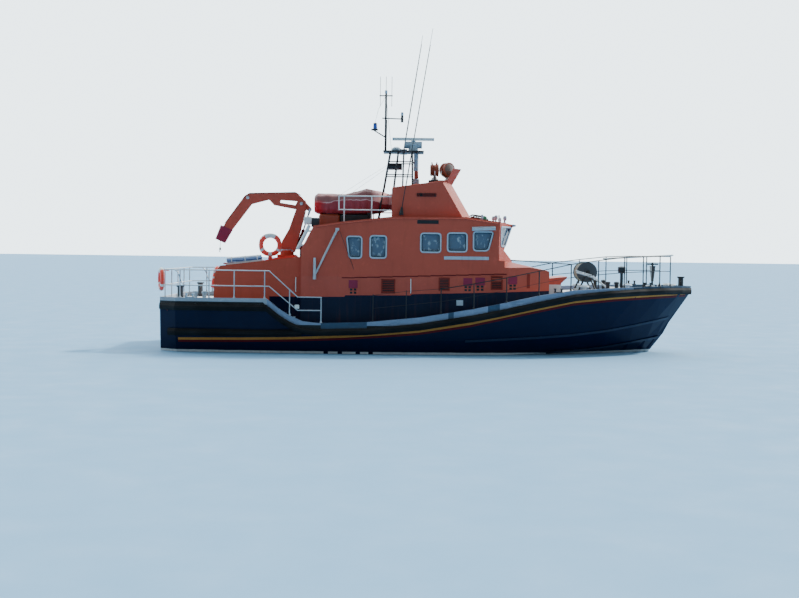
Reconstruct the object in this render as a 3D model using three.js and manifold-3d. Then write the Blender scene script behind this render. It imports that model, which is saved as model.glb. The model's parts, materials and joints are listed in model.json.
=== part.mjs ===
// An all-weather offshore lifeboat, 17.3 m long, afloat. Millimetres, +X to the bow, +Y to port, +Z up.
// The origin is amidships on the centreline at the waterline.
import * as THREE from "three";
import { mergeVertices } from "three/addons/utils/BufferGeometryUtils.js";
import Module from "manifold-3d";

const wasm = await Module();
wasm.setup();

// Running gaps
const SEAT = 0.3;
const JOINT_GAP = 6;

// Hull and deck
const BAND_HEIGHT = 145;
const BAND_WIDTH = 110;
const DECK_THICK = 40;
const DECK_INSET = 120;
const FENDER_DEEP = 210;
const FENDER_PROUD = 120;
const TRANSOM_X = -8600;
// From the stern forwards: the deck edge with its toe band's top, the knuckle, the chine and the keel
const HULL_LINES = [
  // deckX, deckY, bandZ, knuckleX, knuckleY, knuckleZ, chineX, chineY, chineZ, keelX, keelZ
  [-8600, 2250, 1700, -8600, 2150, 420, -8600, 2050, -120, -8600, -620],
  [-8050, 2620, 1700, -8050, 2520, 420, -8050, 2400, -120, -8050, -660],
  [-5200, 2760, 1700, -5200, 2680, 420, -5200, 2520, -140, -5200, -850],
  [-4810, 2770, 1390, -4810, 2685, 420, -4810, 2530, -140, -4810, -875],
  [-4470, 2775, 1180, -4470, 2690, 420, -4470, 2535, -140, -4470, -900],
  [-4070, 2780, 1010, -4070, 2695, 420, -4070, 2540, -140, -4070, -920],
  [-3600, 2785, 960, -3600, 2700, 420, -3600, 2545, -140, -3600, -950],
  [-2060, 2790, 1010, -2060, 2700, 420, -2060, 2550, -130, -2060, -1020],
  [-450, 2780, 1170, -450, 2670, 430, -450, 2500, -100, -450, -1080],
  [1220, 2740, 1450, 1220, 2580, 460, 1220, 2380, -50, 1220, -1100],
  [2240, 2680, 1660, 2240, 2460, 490, 2240, 2250, 0, 2240, -1100],
  [3280, 2560, 1890, 3280, 2290, 540, 3280, 2050, 60, 3280, -1070],
  [4440, 2340, 2070, 4440, 2010, 620, 4440, 1740, 140, 4400, -1000],
  [5600, 1980, 2130, 5560, 1600, 740, 5560, 1320, 260, 5400, -850],
  [6600, 1550, 2170, 6500, 1140, 880, 6450, 880, 390, 6200, -620],
  [7500, 1020, 2200, 7260, 680, 1010, 7100, 490, 500, 6820, -340],
  [8200, 500, 2200, 7720, 300, 1090, 7500, 210, 580, 7130, -120],
  [8600, 90, 2190, 7980, 60, 1130, 7720, 50, 620, 7250, 0],
];

// Underwater gear
const KEEL_BOTTOM = -1780;
const BILGE_KEEL_BOTTOM = -1600;
const SHAFT_Y = 1100;
const PROPELLER_AT = [-7200, -950];
const SHAFT_ENTRY = [-4600, -600];
const SHAFT_RADIUS = 40;
const PROPELLER_RADIUS = 450;
const RUDDER_X = -7960;
const RUDDER_STOCK = 50;

// Deckhouse
const WALL = 60;
const HOUSE_AFT = -4200;
const HOUSE_HALF = 2020;
const COACHROOF_NOSE = 3710;
const HOUSE_RIDGE_Z = 2400;
const ROOF_HALF = 1780;
const ROOF_THICK = 70;
const FLOOR_Z = 1700;
// The front of the wheelhouse, from its roof down over the windscreen and the sill to the coachroof
const WINDSCREEN_LINE = [[2600, 4120], [2560, 4050], [2290, 3400], [2250, 3290], [2560, 2960], [2560, 2800]];
const ROOF_LINE = [[-3820, 4000], [-2900, 4140], [-1400, 4310], [1000, 4330], [2600, 4120]];

// Side windows: low and high edges, with how far the named bottom corner is cut in
const SIDE_WINDOWS = [
  // aftX, foreX, lowZ, highZ, cutAft, cutFore
  [-2790, -2270, 2970, 3690, 90, 0],
  [-2040, -1490, 2980, 3720, 0, 0],
  [-440, 230, 3180, 3820, 0, 0],
  [410, 1060, 3210, 3840, 0, 0],
  [1230, 1900, 3250, 3890, 0, 170],
];

// Door in the aft wall, to port
const DOOR_Y = [950, 1600];
const DOOR_Z = [1720, 3200];
const DOOR_THICK = 40;

// Crane
const SLEW_X = -4830;
const CRANE_PLINTH_Z = 3060;
const SLEW_Z = 3140;
const LUFF_PIN = [-4350, 4750];
const LUFF_PIN_RADIUS = 40;
const RAM_EYE = [-4080, 4560];
const RAM_EYE_BORE = 32;
const RAM_PIN = 14;
const RAM_FOOT = [-4470, 3300];

// Top hamper
const MAST_HALF = 420;
const PLATFORM_Z = 6500;
const SCANNER_AT = [-680, 6930];
const SCANNER_LENGTH = 1380;

// Shapes

function block(x, y, z) {
  const geometry = new THREE.BoxGeometry(x[1] - x[0], y[1] - y[0], z[1] - z[0]);
  return geometry.translate((x[0] + x[1]) / 2, (y[0] + y[1]) / 2, (z[0] + z[1]) / 2);
}

// A round bar from one point to another, tapered where a second radius is given
function bar(from, to, radius, sides = 5, endRadius = radius) {
  const start = new THREE.Vector3(...from);
  const along = new THREE.Vector3(...to).sub(start);
  const geometry = new THREE.CylinderGeometry(endRadius, radius, along.length(), sides);
  geometry.translate(0, along.length() / 2, 0);
  const upright = new THREE.Vector3(0, 1, 0);
  const turn = new THREE.Quaternion().setFromUnitVectors(upright, along.clone().normalize());
  return geometry.applyQuaternion(turn).translate(start.x, start.y, start.z);
}

// The radius of a many-sided bore that a shaft turns in without touching its flats
function boreFor(radius, sides) {
  return (radius + SEAT) / Math.cos(Math.PI / sides);
}

function shapeOf(outline) {
  if (outline instanceof THREE.Shape) return outline;
  return new THREE.Shape(outline.map(([u, v]) => new THREE.Vector2(u, v)));
}

function extrude(outline, depth) {
  return new THREE.ExtrudeGeometry(shapeOf(outline), { depth, bevelEnabled: false, curveSegments: 3 });
}

// An outline in X and Z, carried across the boat
function sideProfile(outline, y) {
  return extrude(outline, y[1] - y[0]).rotateX(Math.PI / 2).translate(0, y[1], 0);
}

// An outline in X and Y, carried upwards
function planProfile(outline, z) {
  return extrude(outline, z[1] - z[0]).translate(0, 0, z[0]);
}

// An outline in Y and Z, carried forwards
function crossProfile(outline, x) {
  const turn = new THREE.Matrix4().makeBasis(
    new THREE.Vector3(0, 1, 0),
    new THREE.Vector3(0, 0, 1),
    new THREE.Vector3(1, 0, 0),
  );
  return extrude(outline, x[1] - x[0]).applyMatrix4(turn).translate(x[0], 0, 0);
}

function roundedOutline(u, v, radius) {
  const shape = new THREE.Shape();
  shape.moveTo(u[0] + radius, v[0]);
  shape.lineTo(u[1] - radius, v[0]);
  shape.absarc(u[1] - radius, v[0] + radius, radius, -Math.PI / 2, 0);
  shape.lineTo(u[1], v[1] - radius);
  shape.absarc(u[1] - radius, v[1] - radius, radius, 0, Math.PI / 2);
  shape.lineTo(u[0] + radius, v[1]);
  shape.absarc(u[0] + radius, v[1] - radius, radius, Math.PI / 2, Math.PI);
  shape.lineTo(u[0], v[0] + radius);
  shape.absarc(u[0] + radius, v[0] + radius, radius, Math.PI, Math.PI * 1.5);
  return shape;
}

// A closed skin over loops of equal count, with a fan at each end.
// The loops run from one side to the other, and the quads on the second side split the mirrored way.
function loft(loops) {
  const count = loops[0].length;
  const positions = loops.flat(2);
  const faces = [];
  for (let i = 0; i + 1 < loops.length; i++) {
    for (let j = 0; j < count; j++) {
      const next = (j + 1) % count;
      const corner = [i * count + j, i * count + next, (i + 1) * count + next, (i + 1) * count + j];
      if (2 * j < count) faces.push([corner[0], corner[1], corner[2]], [corner[0], corner[2], corner[3]]);
      else faces.push([corner[0], corner[1], corner[3]], [corner[1], corner[2], corner[3]]);
    }
  }
  const last = (loops.length - 1) * count;
  for (let j = 1; j + 1 < count; j++) {
    faces.push([0, j + 1, j], [last, last + j, last + j + 1]);
  }
  let volume = 0;
  for (const face of faces) {
    const [a, b, c] = face.map((k) => new THREE.Vector3(...positions.slice(3 * k, 3 * k + 3)));
    volume += a.dot(b.cross(c));
  }
  const geometry = new THREE.BufferGeometry();
  geometry.setAttribute("position", new THREE.Float32BufferAttribute(positions, 3));
  geometry.setIndex((volume > 0 ? faces : faces.map(([a, b, c]) => [a, c, b])).flat());
  return geometry;
}

// A bent pipe through the points, mitred at each bend
function pipe(points, radius, sides = 5) {
  const at = points.map((point) => new THREE.Vector3(...point));
  const way = at.slice(1).map((point, k) => point.clone().sub(at[k]).normalize());
  const turn = new THREE.Quaternion().setFromUnitVectors(new THREE.Vector3(0, 0, 1), way[0]);
  let ring = Array.from({ length: sides }, (_, k) => {
    const angle = (2 * Math.PI * k) / sides;
    const rim = new THREE.Vector3(radius * Math.cos(angle), radius * Math.sin(angle), 0);
    return rim.applyQuaternion(turn).add(at[0]);
  });
  const loops = [ring];
  for (let i = 1; i < at.length; i++) {
    const along = way[i - 1];
    const mitre = i < way.length ? along.clone().add(way[i]).normalize() : along;
    ring = ring.map((q) => {
      const reach = at[i].clone().sub(q).dot(mitre) / along.dot(mitre);
      return q.clone().addScaledVector(along, reach);
    });
    loops.push(ring);
  }
  return loft(loops.map((loop) => loop.map((q) => q.toArray())));
}

// Solids for cutting and joining

function solidOf(geometry) {
  const bare = new THREE.BufferGeometry();
  const source = geometry.index ? geometry.toNonIndexed() : geometry;
  bare.setAttribute("position", source.getAttribute("position").clone());
  const merged = mergeVertices(bare, 1e-3);
  return new wasm.Manifold(
    new wasm.Mesh({
      numProp: 3,
      vertProperties: merged.attributes.position.array,
      triVerts: new Uint32Array(merged.index.array),
    }),
  );
}

function geometryOf(made) {
  const mesh = made.getMesh();
  const positions = new Float32Array(mesh.numVert * 3);
  for (let i = 0; i < mesh.numVert; i++) {
    positions.set(mesh.vertProperties.subarray(i * mesh.numProp, i * mesh.numProp + 3), i * 3);
  }
  const geometry = new THREE.BufferGeometry();
  geometry.setAttribute("position", new THREE.BufferAttribute(positions, 3));
  geometry.setIndex(new THREE.BufferAttribute(new Uint32Array(mesh.triVerts), 1));
  return geometry;
}

function join(...shapes) {
  return geometryOf(shapes.map(solidOf).reduce((all, one) => all.add(one)));
}

function cut(shape, ...tools) {
  return geometryOf(tools.map(solidOf).reduce((left, tool) => left.subtract(tool), solidOf(shape)));
}

function common(...shapes) {
  return geometryOf(shapes.map(solidOf).reduce((all, one) => all.intersect(one)));
}

// The same shape on the other side of the centreline
function mirrored(geometry) {
  const copy = geometry.clone().scale(1, -1, 1);
  const flat = copy.index ? copy.toNonIndexed() : copy;
  const p = flat.getAttribute("position");
  const positions = [];
  for (let i = 0; i < p.count; i += 3) {
    for (const k of [i, i + 2, i + 1]) {
      positions.push(p.getX(k), p.getY(k), p.getZ(k));
    }
  }
  const turned = new THREE.BufferGeometry();
  turned.setAttribute("position", new THREE.Float32BufferAttribute(positions, 3));
  return turned;
}

// The assembly

const boat = new THREE.Group();

const FINISH = {
  // colour, roughness, metalness
  navy: [0x0b1530, 0.35, 0],
  orange: [0xb8452a, 0.5, 0],
  lightGrey: [0x9fb2c2, 0.6, 0],
  deckGrey: [0xb9bcb8, 0.8, 0],
  black: [0x15171a, 0.8, 0],
  glass: [0x24434c, 0.1, 0],
  dark: [0x2b2d30, 0.6, 0.2],
  steel: [0xb4b8bc, 0.4, 0.8],
  maroon: [0x6d1d2a, 0.6, 0],
  cover: [0x9c2b2c, 0.7, 0],
  red: [0xd8331f, 0.6, 0],
  bronze: [0x8b6b35, 0.35, 0.9],
  white: [0xe4e6e4, 0.6, 0],
};

function add(name, geometry, finish) {
  const [color, roughness, metalness] = FINISH[finish];
  const mesh = new THREE.Mesh(geometry, new THREE.MeshStandardMaterial({ color, roughness, metalness }));
  mesh.name = name;
  boat.add(mesh);
}

function addPair(name, geometry, finish) {
  add(name + "_port", geometry, finish);
  add(name + "_starboard", mirrored(geometry), finish);
}

// The value in a column of the rows at a place along the boat, which is the rows' first column
function along(rows, x, column = 1) {
  const k = rows.findIndex((row) => row[0] >= x);
  if (k <= 0) return rows[k < 0 ? rows.length - 1 : 0][column];
  const [aft, fore] = [rows[k - 1], rows[k]];
  return THREE.MathUtils.mapLinear(x, aft[0], fore[0], aft[column], fore[column]);
}

const halfBreadth = (x) => along(HULL_LINES, x, 1);
const bandTop = (x) => along(HULL_LINES, x, 2);
const deckTop = (x) => bandTop(x) - BAND_HEIGHT;
const roofAt = (x) => along(ROOF_LINE, x);

// Hull

function hullBody(grow) {
  const loops = HULL_LINES.map(([dx, dy, dz, nx, ny, nz, cx, cy, cz, kx, kz], k) => {
    const hullTop = dz - BAND_HEIGHT - DECK_THICK + grow;
    const half = [
      [kx, 0, kz - grow],
      [cx, cy + grow, cz - grow],
      [nx, ny + grow, nz],
      [dx, dy + grow, hullTop],
    ];
    const other = half.slice(1).reverse().map(([x, y, z]) => [x, -y, z]);
    const shift = k === 0 ? -grow : k === HULL_LINES.length - 1 ? 2 * grow : 0;
    return [...half, ...other].map(([x, y, z]) => [x + shift, y, z]);
  });
  return loft(loops);
}

function onSide(points, side) {
  return points.map(([x, y, z]) => [x, y * side, z]);
}

const shaftAlong = [SHAFT_ENTRY[0] - PROPELLER_AT[0], SHAFT_ENTRY[1] - PROPELLER_AT[1]];

// A point on the propeller shaft's line, by its place along the boat
function onShaft(x, side = 1) {
  const z = PROPELLER_AT[1] + (shaftAlong[1] * (x - PROPELLER_AT[0])) / shaftAlong[0];
  return [x, SHAFT_Y * side, z];
}

const TUNNEL_RADIUS = 550;
const TUNNEL_LINE = [[-8900, SHAFT_Y, -700], [-4400, SHAFT_Y, -1300]];
const tunnels = [1, -1].map((side) => bar(...onSide(TUNNEL_LINE, side), TUNNEL_RADIUS, 16));
const shaftBore = boreFor(SHAFT_RADIUS, 10);
const sternTubes = [1, -1].map((side) => bar(onShaft(-5100, side), onShaft(-4300, side), shaftBore, 10));
const rudderBores = [1, -1].map((side) => {
  const [low, high] = onSide([[RUDDER_X, SHAFT_Y, -500], [RUDDER_X, SHAFT_Y, 0]], side);
  return bar(low, high, boreFor(RUDDER_STOCK, 24), 24);
});
const bilgeKeel = sideProfile(
  [
    [-7900, 0], [-7600, -1350], [-7000, BILGE_KEEL_BOTTOM],
    [-2600, BILGE_KEEL_BOTTOM], [-1800, -1300], [-1200, 0],
  ],
  [1880, 2030],
);
const hullWithKeels = join(hullBody(0), bilgeKeel, mirrored(bilgeKeel));
add("hull", cut(hullWithKeels, ...tunnels, ...sternTubes, ...rudderBores), "navy");
const hullClear = hullBody(SEAT);

// Deck

// The deck stops short of the stem, where the toe bands meet
const DECK_ENDS = [8440, 254, 2194];
const deck = loft(
  [...HULL_LINES.slice(0, -1), DECK_ENDS].map(([dx, dy, dz]) => {
    const half = dy - DECK_INSET;
    const top = dz - BAND_HEIGHT;
    const low = top - DECK_THICK + SEAT;
    const x = dx === TRANSOM_X ? dx + DECK_INSET : dx;
    return [[x, half, low], [x, half, top], [x, -half, top], [x, -half, low]];
  }),
);
const HATCH = { x: [5900, 6450], y: [-280, 280], rim: 50, high: 70, lid: 40 };
const hatchDeck = deckTop((HATCH.x[0] + HATCH.x[1]) / 2);
const drawnIn = ([low, high], by) => [low + by, high - by];
const hatchCoaming = cut(
  block(HATCH.x, HATCH.y, [hatchDeck - 20, hatchDeck + HATCH.high]),
  block(drawnIn(HATCH.x, HATCH.rim), drawnIn(HATCH.y, HATCH.rim), [hatchDeck + 20, hatchDeck + 200]),
);
add("deck", join(deck, hatchCoaming), "deckGrey");

// What stands on the deck is trimmed by this
const deckClear = loft(
  HULL_LINES.map(([dx, dy, dz]) => {
    const top = dz - BAND_HEIGHT + SEAT;
    return [[dx, dy, top - 3000], [dx, dy, top], [dx, -dy, top], [dx, -dy, top - 3000]];
  }),
);

// Toe band round the deck edge

const bandSide = loft(
  HULL_LINES.map(([dx, dy, dz]) => {
    const inner = Math.max(dy - BAND_WIDTH, -5);
    const low = dz - BAND_HEIGHT - DECK_THICK + SEAT;
    return [[dx, dy, low], [dx, dy, dz], [dx, inner, dz], [dx, inner, low]];
  }),
);
const bandStern = block(
  [TRANSOM_X, TRANSOM_X + BAND_WIDTH],
  [-5, HULL_LINES[0][1] - 20],
  [HULL_LINES[0][2] - BAND_HEIGHT - DECK_THICK + SEAT, HULL_LINES[0][2]],
);
add("gunwale", join(bandSide, bandStern, mirrored(bandSide), mirrored(bandStern)), "lightGrey");

// Rubber fender under the band, with the second run at the quarter

function fenderRun(rows) {
  return loft(
    rows.map(([x, y, top]) => {
      const inner = Math.max(y - 260, SEAT);
      const out = y + FENDER_PROUD;
      const face = out - 50;
      const low = top - FENDER_DEEP;
      const section = [[inner, top], [face, top], [out, top - 70], [out, low + 70], [face, low], [inner, low]];
      return section.map(([across, up]) => [x, across, up]);
    }),
  );
}

// Forward of the reel the fender climbs in front of the toe band
const FENDER_CLIMB = [[3280, 0], [4440, 55], [5600, 105], [6600, 120]];
const upperFender = fenderRun(
  HULL_LINES.map(([dx, dy, dz]) => [dx, dy, dz - BAND_HEIGHT - DECK_THICK - SEAT + along(FENDER_CLIMB, dx)]),
);
const bandGrown = loft(
  HULL_LINES.map(([dx, dy, dz], k) => {
    const x = k === HULL_LINES.length - 1 ? dx + SEAT : dx;
    const low = dz - BAND_HEIGHT - DECK_THICK;
    return [[x, dy + SEAT, low], [x, dy + SEAT, dz + SEAT], [x, -20, dz + SEAT], [x, -20, low]];
  }),
);
const QUARTER_FENDER = [[-8300, 2440, 730], [-8050, 2560, 730], [-5200, 2700, 730], [-4100, 2740, 760]];
const lowerFender = fenderRun(QUARTER_FENDER);
addPair("fender", cut(join(upperFender, lowerFender), hullClear, bandGrown), "black");

// Centre keel

const keelShape = sideProfile(
  [[-7600, -500], [-7200, -1550], [-6600, KEEL_BOTTOM], [2400, KEEL_BOTTOM], [3800, -1500], [4900, -700]],
  [-110, 110],
);
add("keel", cut(keelShape, hullClear), "navy");

// Propellers, shafts and their brackets

const shaftAngle = Math.atan2(shaftAlong[1], shaftAlong[0]);

const BLADE = [
  [50, -70], [180, -190], [330, -200], [430, -90], [PROPELLER_RADIUS, 0],
  [430, 90], [330, 170], [180, 120], [50, 60],
];
const BLADE_THICK = 24;
const BLADE_PITCH = 0.55;

function propeller() {
  const hub = bar([-130, 0, 0], [110, 0, 0], 85, 12, 70);
  const blades = [0, 1, 2, 3].map((k) => {
    const blade = extrude(BLADE, BLADE_THICK).translate(0, 0, -BLADE_THICK / 2);
    // The blade's outline lies in the disc, then it is pitched about its own root
    return blade.rotateX(BLADE_PITCH).rotateY(-Math.PI / 2).rotateX((k * Math.PI) / 2);
  });
  const shaft = bar([0, 0, 0], [2780, 0, 0], SHAFT_RADIUS, 10);
  const whole = join(hub, ...blades, shaft).rotateY(-shaftAngle);
  return whole.translate(PROPELLER_AT[0], SHAFT_Y, PROPELLER_AT[1]);
}

addPair("propeller", propeller(), "bronze");

function shaftBracket() {
  const ring = bar(onShaft(-6930), onShaft(-6750), 90, 12);
  const [x, , z] = onShaft(-6840);
  const legs = [-380, 380].map((across) => {
    const foot = [[x - 60, z], [x + 60, z], [x + 60, 200], [x - 60, 200]];
    const leg = sideProfile(foot, [-12, 12]).translate(-x, 0, -z).rotateX(across > 0 ? -0.75 : 0.75);
    return leg.translate(x, SHAFT_Y, z);
  });
  const bore = bar(onShaft(-7000), onShaft(-6600), boreFor(SHAFT_RADIUS, 12), 12);
  const tunnelClear = bar(...TUNNEL_LINE, TUNNEL_RADIUS - SEAT, 16);
  const below = block([-8000, -6000], [SHAFT_Y - 900, SHAFT_Y + 900], [-1600, 400]);
  const inTunnel = common(join(ring, ...legs), join(tunnelClear, cut(below, hullClear)));
  return cut(inTunnel, bore);
}

addPair("shaft_bracket", shaftBracket(), "bronze");

// Rudders

const RUDDER_SECTION = [[190, 0], [120, 38], [0, 45], [-380, 8], [-380, -8], [0, -45], [120, -38]];

function rudder() {
  const blade = planProfile(RUDDER_SECTION, [-1450, -480]);
  const stock = bar([0, 0, -520], [0, 0, -60], RUDDER_STOCK, 24);
  return join(blade, stock).translate(RUDDER_X, SHAFT_Y, 0);
}

addPair("rudder", rudder(), "bronze");

// Deckhouse: the outer form, or the hollow when it is drawn in by the wall

function lowerHouse(inset) {
  const low = 300;
  const aft = HOUSE_AFT + inset;
  const nose = COACHROOF_NOSE - inset;
  const side = sideProfile(
    [
      [aft, low], [nose, low], [nose, 2620 - inset],
      [nose - 50, 2660 - inset], [2300, 2960 - inset], [aft, 2960 - inset],
    ],
    [-2200, 2200],
  );
  const half = HOUSE_HALF - inset;
  const front = 1560 - inset;
  const plan = planProfile(
    [[aft, -half], [2300, -half], [nose, -front], [nose, front], [2300, half], [aft, half]],
    [low - 100, 3100],
  );
  const roofHalf = ROOF_HALF + 160 - inset;
  const starboard = [[-roofHalf, 3100], [-half, HOUSE_RIDGE_Z], [-half, low - 50]];
  const port = starboard.map(([y, z]) => [-y, z]).reverse();
  const cross = crossProfile([...starboard, ...port], [-4300, 3800]);
  const shoulder = loft([
    [[2240, 1150, 2990 - inset], [2240, 2200, 2690 - inset], [2240, 2200, 3200]],
    [[3760, 1150, 2650 - inset], [3760, 2200, 2590 - inset], [3760, 2200, 3200]],
  ]);
  return cut(common(side, plan, cross), shoulder, mirrored(shoulder));
}

function upperHouse(inset) {
  const side = sideProfile(
    [[HOUSE_AFT + inset, 2800], [HOUSE_AFT + inset, 3250], [ROOF_LINE[0][0] + inset, ROOF_LINE[0][1]],
      ...ROOF_LINE.slice(1, 4), ...WINDSCREEN_LINE.map(([x, z]) => [x - inset, z])],
    [-2200, 2200],
  );
  // The front corners are cut off at a slant
  const [shoulder, nose] = [2060 - inset, 2700 - inset];
  const port = [[nose, 700 - inset * 0.4], [shoulder, 1880 - inset * 0.4], [shoulder, 2100], [-4300, 2100]];
  const starboard = port.map(([x, y]) => [x, -y]).reverse();
  const plan = planProfile([...starboard, ...port], [2700, 4500]);
  const high = ROOF_HALF - inset;
  const low = ROOF_HALF + 210 - inset;
  const cross = crossProfile([[-low, 2700], [low, 2700], [high, 4400], [-high, 4400]], [-4300, 2800]);
  return common(side, plan, cross);
}

function aboveRoofLine(drop) {
  const line = ROOF_LINE.map(([x, z]) => [x, z - drop]);
  const [aft, fore, top] = [-4400, 2900, 5000];
  return sideProfile([[aft, line[0][1]], ...line, [fore, 4080 - drop], [fore, top], [aft, top]], [-2300, 2300]);
}

function sideWindowCut([aftX, foreX, lowZ, highZ, cutAft, cutFore]) {
  const shape = new THREE.Shape();
  const r = 110;
  shape.moveTo(aftX + cutAft + r, lowZ);
  shape.lineTo(foreX - cutFore - r, lowZ);
  shape.quadraticCurveTo(foreX - cutFore, lowZ, foreX - cutFore * 0.8, lowZ + r);
  shape.lineTo(foreX, highZ - r);
  shape.quadraticCurveTo(foreX, highZ, foreX - r, highZ);
  shape.lineTo(aftX + r, highZ);
  shape.quadraticCurveTo(aftX, highZ, aftX, highZ - r);
  shape.lineTo(aftX + cutAft * 0.8, lowZ + r);
  shape.quadraticCurveTo(aftX + cutAft, lowZ, aftX + cutAft + r, lowZ);
  return sideProfile(shape, [1500, 2300]);
}

const sideCuts = SIDE_WINDOWS.map(sideWindowCut).flatMap((one) => [one, mirrored(one)]);
const frontPane = crossProfile(roundedOutline([60, 640], [3440, 4010], 70), [2000, 2700]);
const cornerPane = crossProfile(roundedOutline([-330, 480], [3440, 4010], 70), [-200, 200])
  .rotateZ(0.5)
  .translate(2230, 1260, 0);
const frontCuts = [frontPane, mirrored(frontPane), cornerPane, mirrored(cornerPane)];
const doorCut = block([HOUSE_AFT - 100, HOUSE_AFT + 200], DOOR_Y, DOOR_Z);
const houseOuter = join(lowerHouse(0), upperHouse(0));
const betweenDecks = block([-4000, 2000], [-1500, 1500], [3000, 4600]);
const houseInner = join(lowerHouse(WALL), upperHouse(WALL), betweenDecks);
const underRoof = aboveRoofLine(ROOF_THICK + SEAT);
const trimmedHouse = cut(houseOuter, houseInner, ...sideCuts, ...frontCuts, doorCut, deckClear, underRoof);
const HINGE_AT = [HOUSE_AFT - 12, DOOR_Y[1] + 7];
const HINGE_HEIGHTS = [1950, 2900];

// A knuckle on the door's hinge line with a leaf towards one side
function hinge(low, high, leafY) {
  const [x, y] = HINGE_AT;
  return join(bar([x, y, low], [x, y, high], 12, 8), block([x - 2, HOUSE_AFT + 2], leafY, [low, high]));
}

const houseHinges = HINGE_HEIGHTS.map((z) => hinge(z, z + 60, [HINGE_AT[1], HINGE_AT[1] + 60]));
add("deckhouse", join(trimmedHouse, ...houseHinges), "orange");

// Roof panel with the coaming of its escape hatch

const ROOF_HATCH = { at: [1280, 4294], x: [0, 540], y: [-270, 270], rim: 60, slope: Math.atan2(190, 1470) };

function onHatchSlope(geometry) {
  return geometry.rotateY(ROOF_HATCH.slope).translate(ROOF_HATCH.at[0], 0, ROOF_HATCH.at[1]);
}

const roofPlate = common(upperHouse(0), aboveRoofLine(ROOF_THICK));
const coaming = onHatchSlope(block(ROOF_HATCH.x, ROOF_HATCH.y, [-50, 60]));
const manhole = onHatchSlope(
  block(drawnIn(ROOF_HATCH.x, ROOF_HATCH.rim), drawnIn(ROOF_HATCH.y, ROOF_HATCH.rim), [-400, 200]),
);
add("wheelhouse_roof", cut(join(roofPlate, coaming), manhole), "orange");
const [handleAft, handleFore] = drawnIn(ROOF_HATCH.x, ROOF_HATCH.rim);
const lidHandles = [-200, 200].flatMap((y) => [
  bar([handleAft, y, 140], [handleFore, y, 140], 14),
  ...[handleAft, handleFore].map((x) => bar([x, y, 90], [x, y, 152], 14)),
]);
const lid = join(block(ROOF_HATCH.x, ROOF_HATCH.y, [60 + SEAT, 100]), ...lidHandles);
add("roof_hatch", onHatchSlope(lid), "dark");

// Floor of the wheelhouse, carried at its edges by the walls

const floor = common(lowerHouse(WALL + SEAT), block([-4300, 2250], [-2200, 2200], [FLOOR_Z - 40, FLOOR_Z]));
add("wheelhouse_floor", floor, "dark");

// Window glass, in flat panels behind the walls' openings

const GLASS = 8;
const hollowAt = (inset) => join(lowerHouse(inset), upperHouse(inset));
const behindWall = cut(hollowAt(WALL + SEAT), hollowAt(WALL + GLASS));
const sidePanel = block([-2900, 1940], [1500, 2200], [2900, 3960]);
const sideGlass = common(upperHouse(WALL + SEAT), sidePanel);
addPair("side_glazing", cut(sideGlass, upperHouse(WALL + GLASS)), "glass");
add("windscreen", common(behindWall, block([1960, 2700], [-1700, 1700], [3400, 4040])), "glass");

// Door

const doorPanel = block(
  [HOUSE_AFT, HOUSE_AFT + DOOR_THICK],
  drawnIn(DOOR_Y, JOINT_GAP),
  drawnIn(DOOR_Z, JOINT_GAP),
);

// The wall beside the doorway, which a leaf passes without touching
const besideDoor = [DOOR_Y[1] - JOINT_GAP, DOOR_Y[1] + 100];
const doorwayClear = block([HOUSE_AFT - SEAT, HOUSE_AFT + 100], besideDoor, DOOR_Z);
const doorHandle = block([HOUSE_AFT - 60, HOUSE_AFT], [DOOR_Y[0] + 60, DOOR_Y[0] + 90], [2350, 2550]);
const doorLeaf = [DOOR_Y[1] - 60, HINGE_AT[1]];
const doorHinges = HINGE_HEIGHTS.map((z) => cut(hinge(z + 60 + SEAT, z + 120, doorLeaf), doorwayClear));
add("cabin_door", join(doorPanel, doorHandle, ...doorHinges), "orange");

// Helm console and crew seats

const helmConsole = join(
  block([1450, 1800], [-1300, 1300], [FLOOR_Z + SEAT, 3050]),
  sideProfile([[1150, 2950], [1800, 2950], [1800, 3260], [1500, 3260]], [-1300, 1300]),
);
add("helm_console", helmConsole, "dark");

function seat(x, y) {
  return join(
    block([x - 90, x + 90], [y - 90, y + 90], [FLOOR_Z + 30, 2450]),
    block([x - 250, x + 250], [y - 250, y + 250], [2440, 2580]),
    sideProfile([[x - 290, 2560], [x - 170, 2560], [x - 250, 3290], [x - 350, 3290]], [y - 230, y + 230]),
  );
}

const SEAT_PLACES = [[700, -900], [700, 900], [-500, -900], [-500, 900], [-1900, -900], [-1900, 900]];
const seatRailZ = [FLOOR_Z + SEAT, FLOOR_Z + 40];
const seatRails = [-900, 900].map((y) => block([-2100, 900], [y - 120, y + 120], seatRailZ));
const railTie = block([-1500, -1300], [-900, 900], seatRailZ);
add("crew_seats", join(...seatRails, railTie, ...SEAT_PLACES.map(([x, y]) => seat(x, y))), "dark");

// Upper steering house, open above

const UPPER_AFT = -1360;
const UPPER_TOP = [[UPPER_AFT, 5230], [410, 5490]];

// Its walls lean in, the front one the most, with a chamfer at each front corner
function upperWalls(inset) {
  const loops = [4000, 6200].map((z) => {
    const front = 1180 - 0.58 * (z - 4350) - inset;
    const half = 1500 - 0.0944 * (z - 3800) - inset;
    const corner = [front - 280 + inset * 0.3, half - 420 + inset * 0.4];
    const starboard = [[UPPER_AFT - 100, -half, z], [corner[0], -half, z], [front, -corner[1], z]];
    return [...starboard, ...starboard.map(([x, y]) => [x, -y, z]).reverse()];
  });
  return loft(loops);
}

function upperSteering(inset, open) {
  const [aft, brow] = [UPPER_AFT + inset, 600 - inset];
  const top = open ? [[brow, 6000], [aft, 6000]] : [UPPER_TOP[1], [aft, UPPER_TOP[0][1]]];
  const side = sideProfile([[aft, 4000], [1500, 4000], [1500, 5000], [brow, 5350], ...top], [-1600, 1600]);
  return common(side, upperWalls(inset));
}

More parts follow.
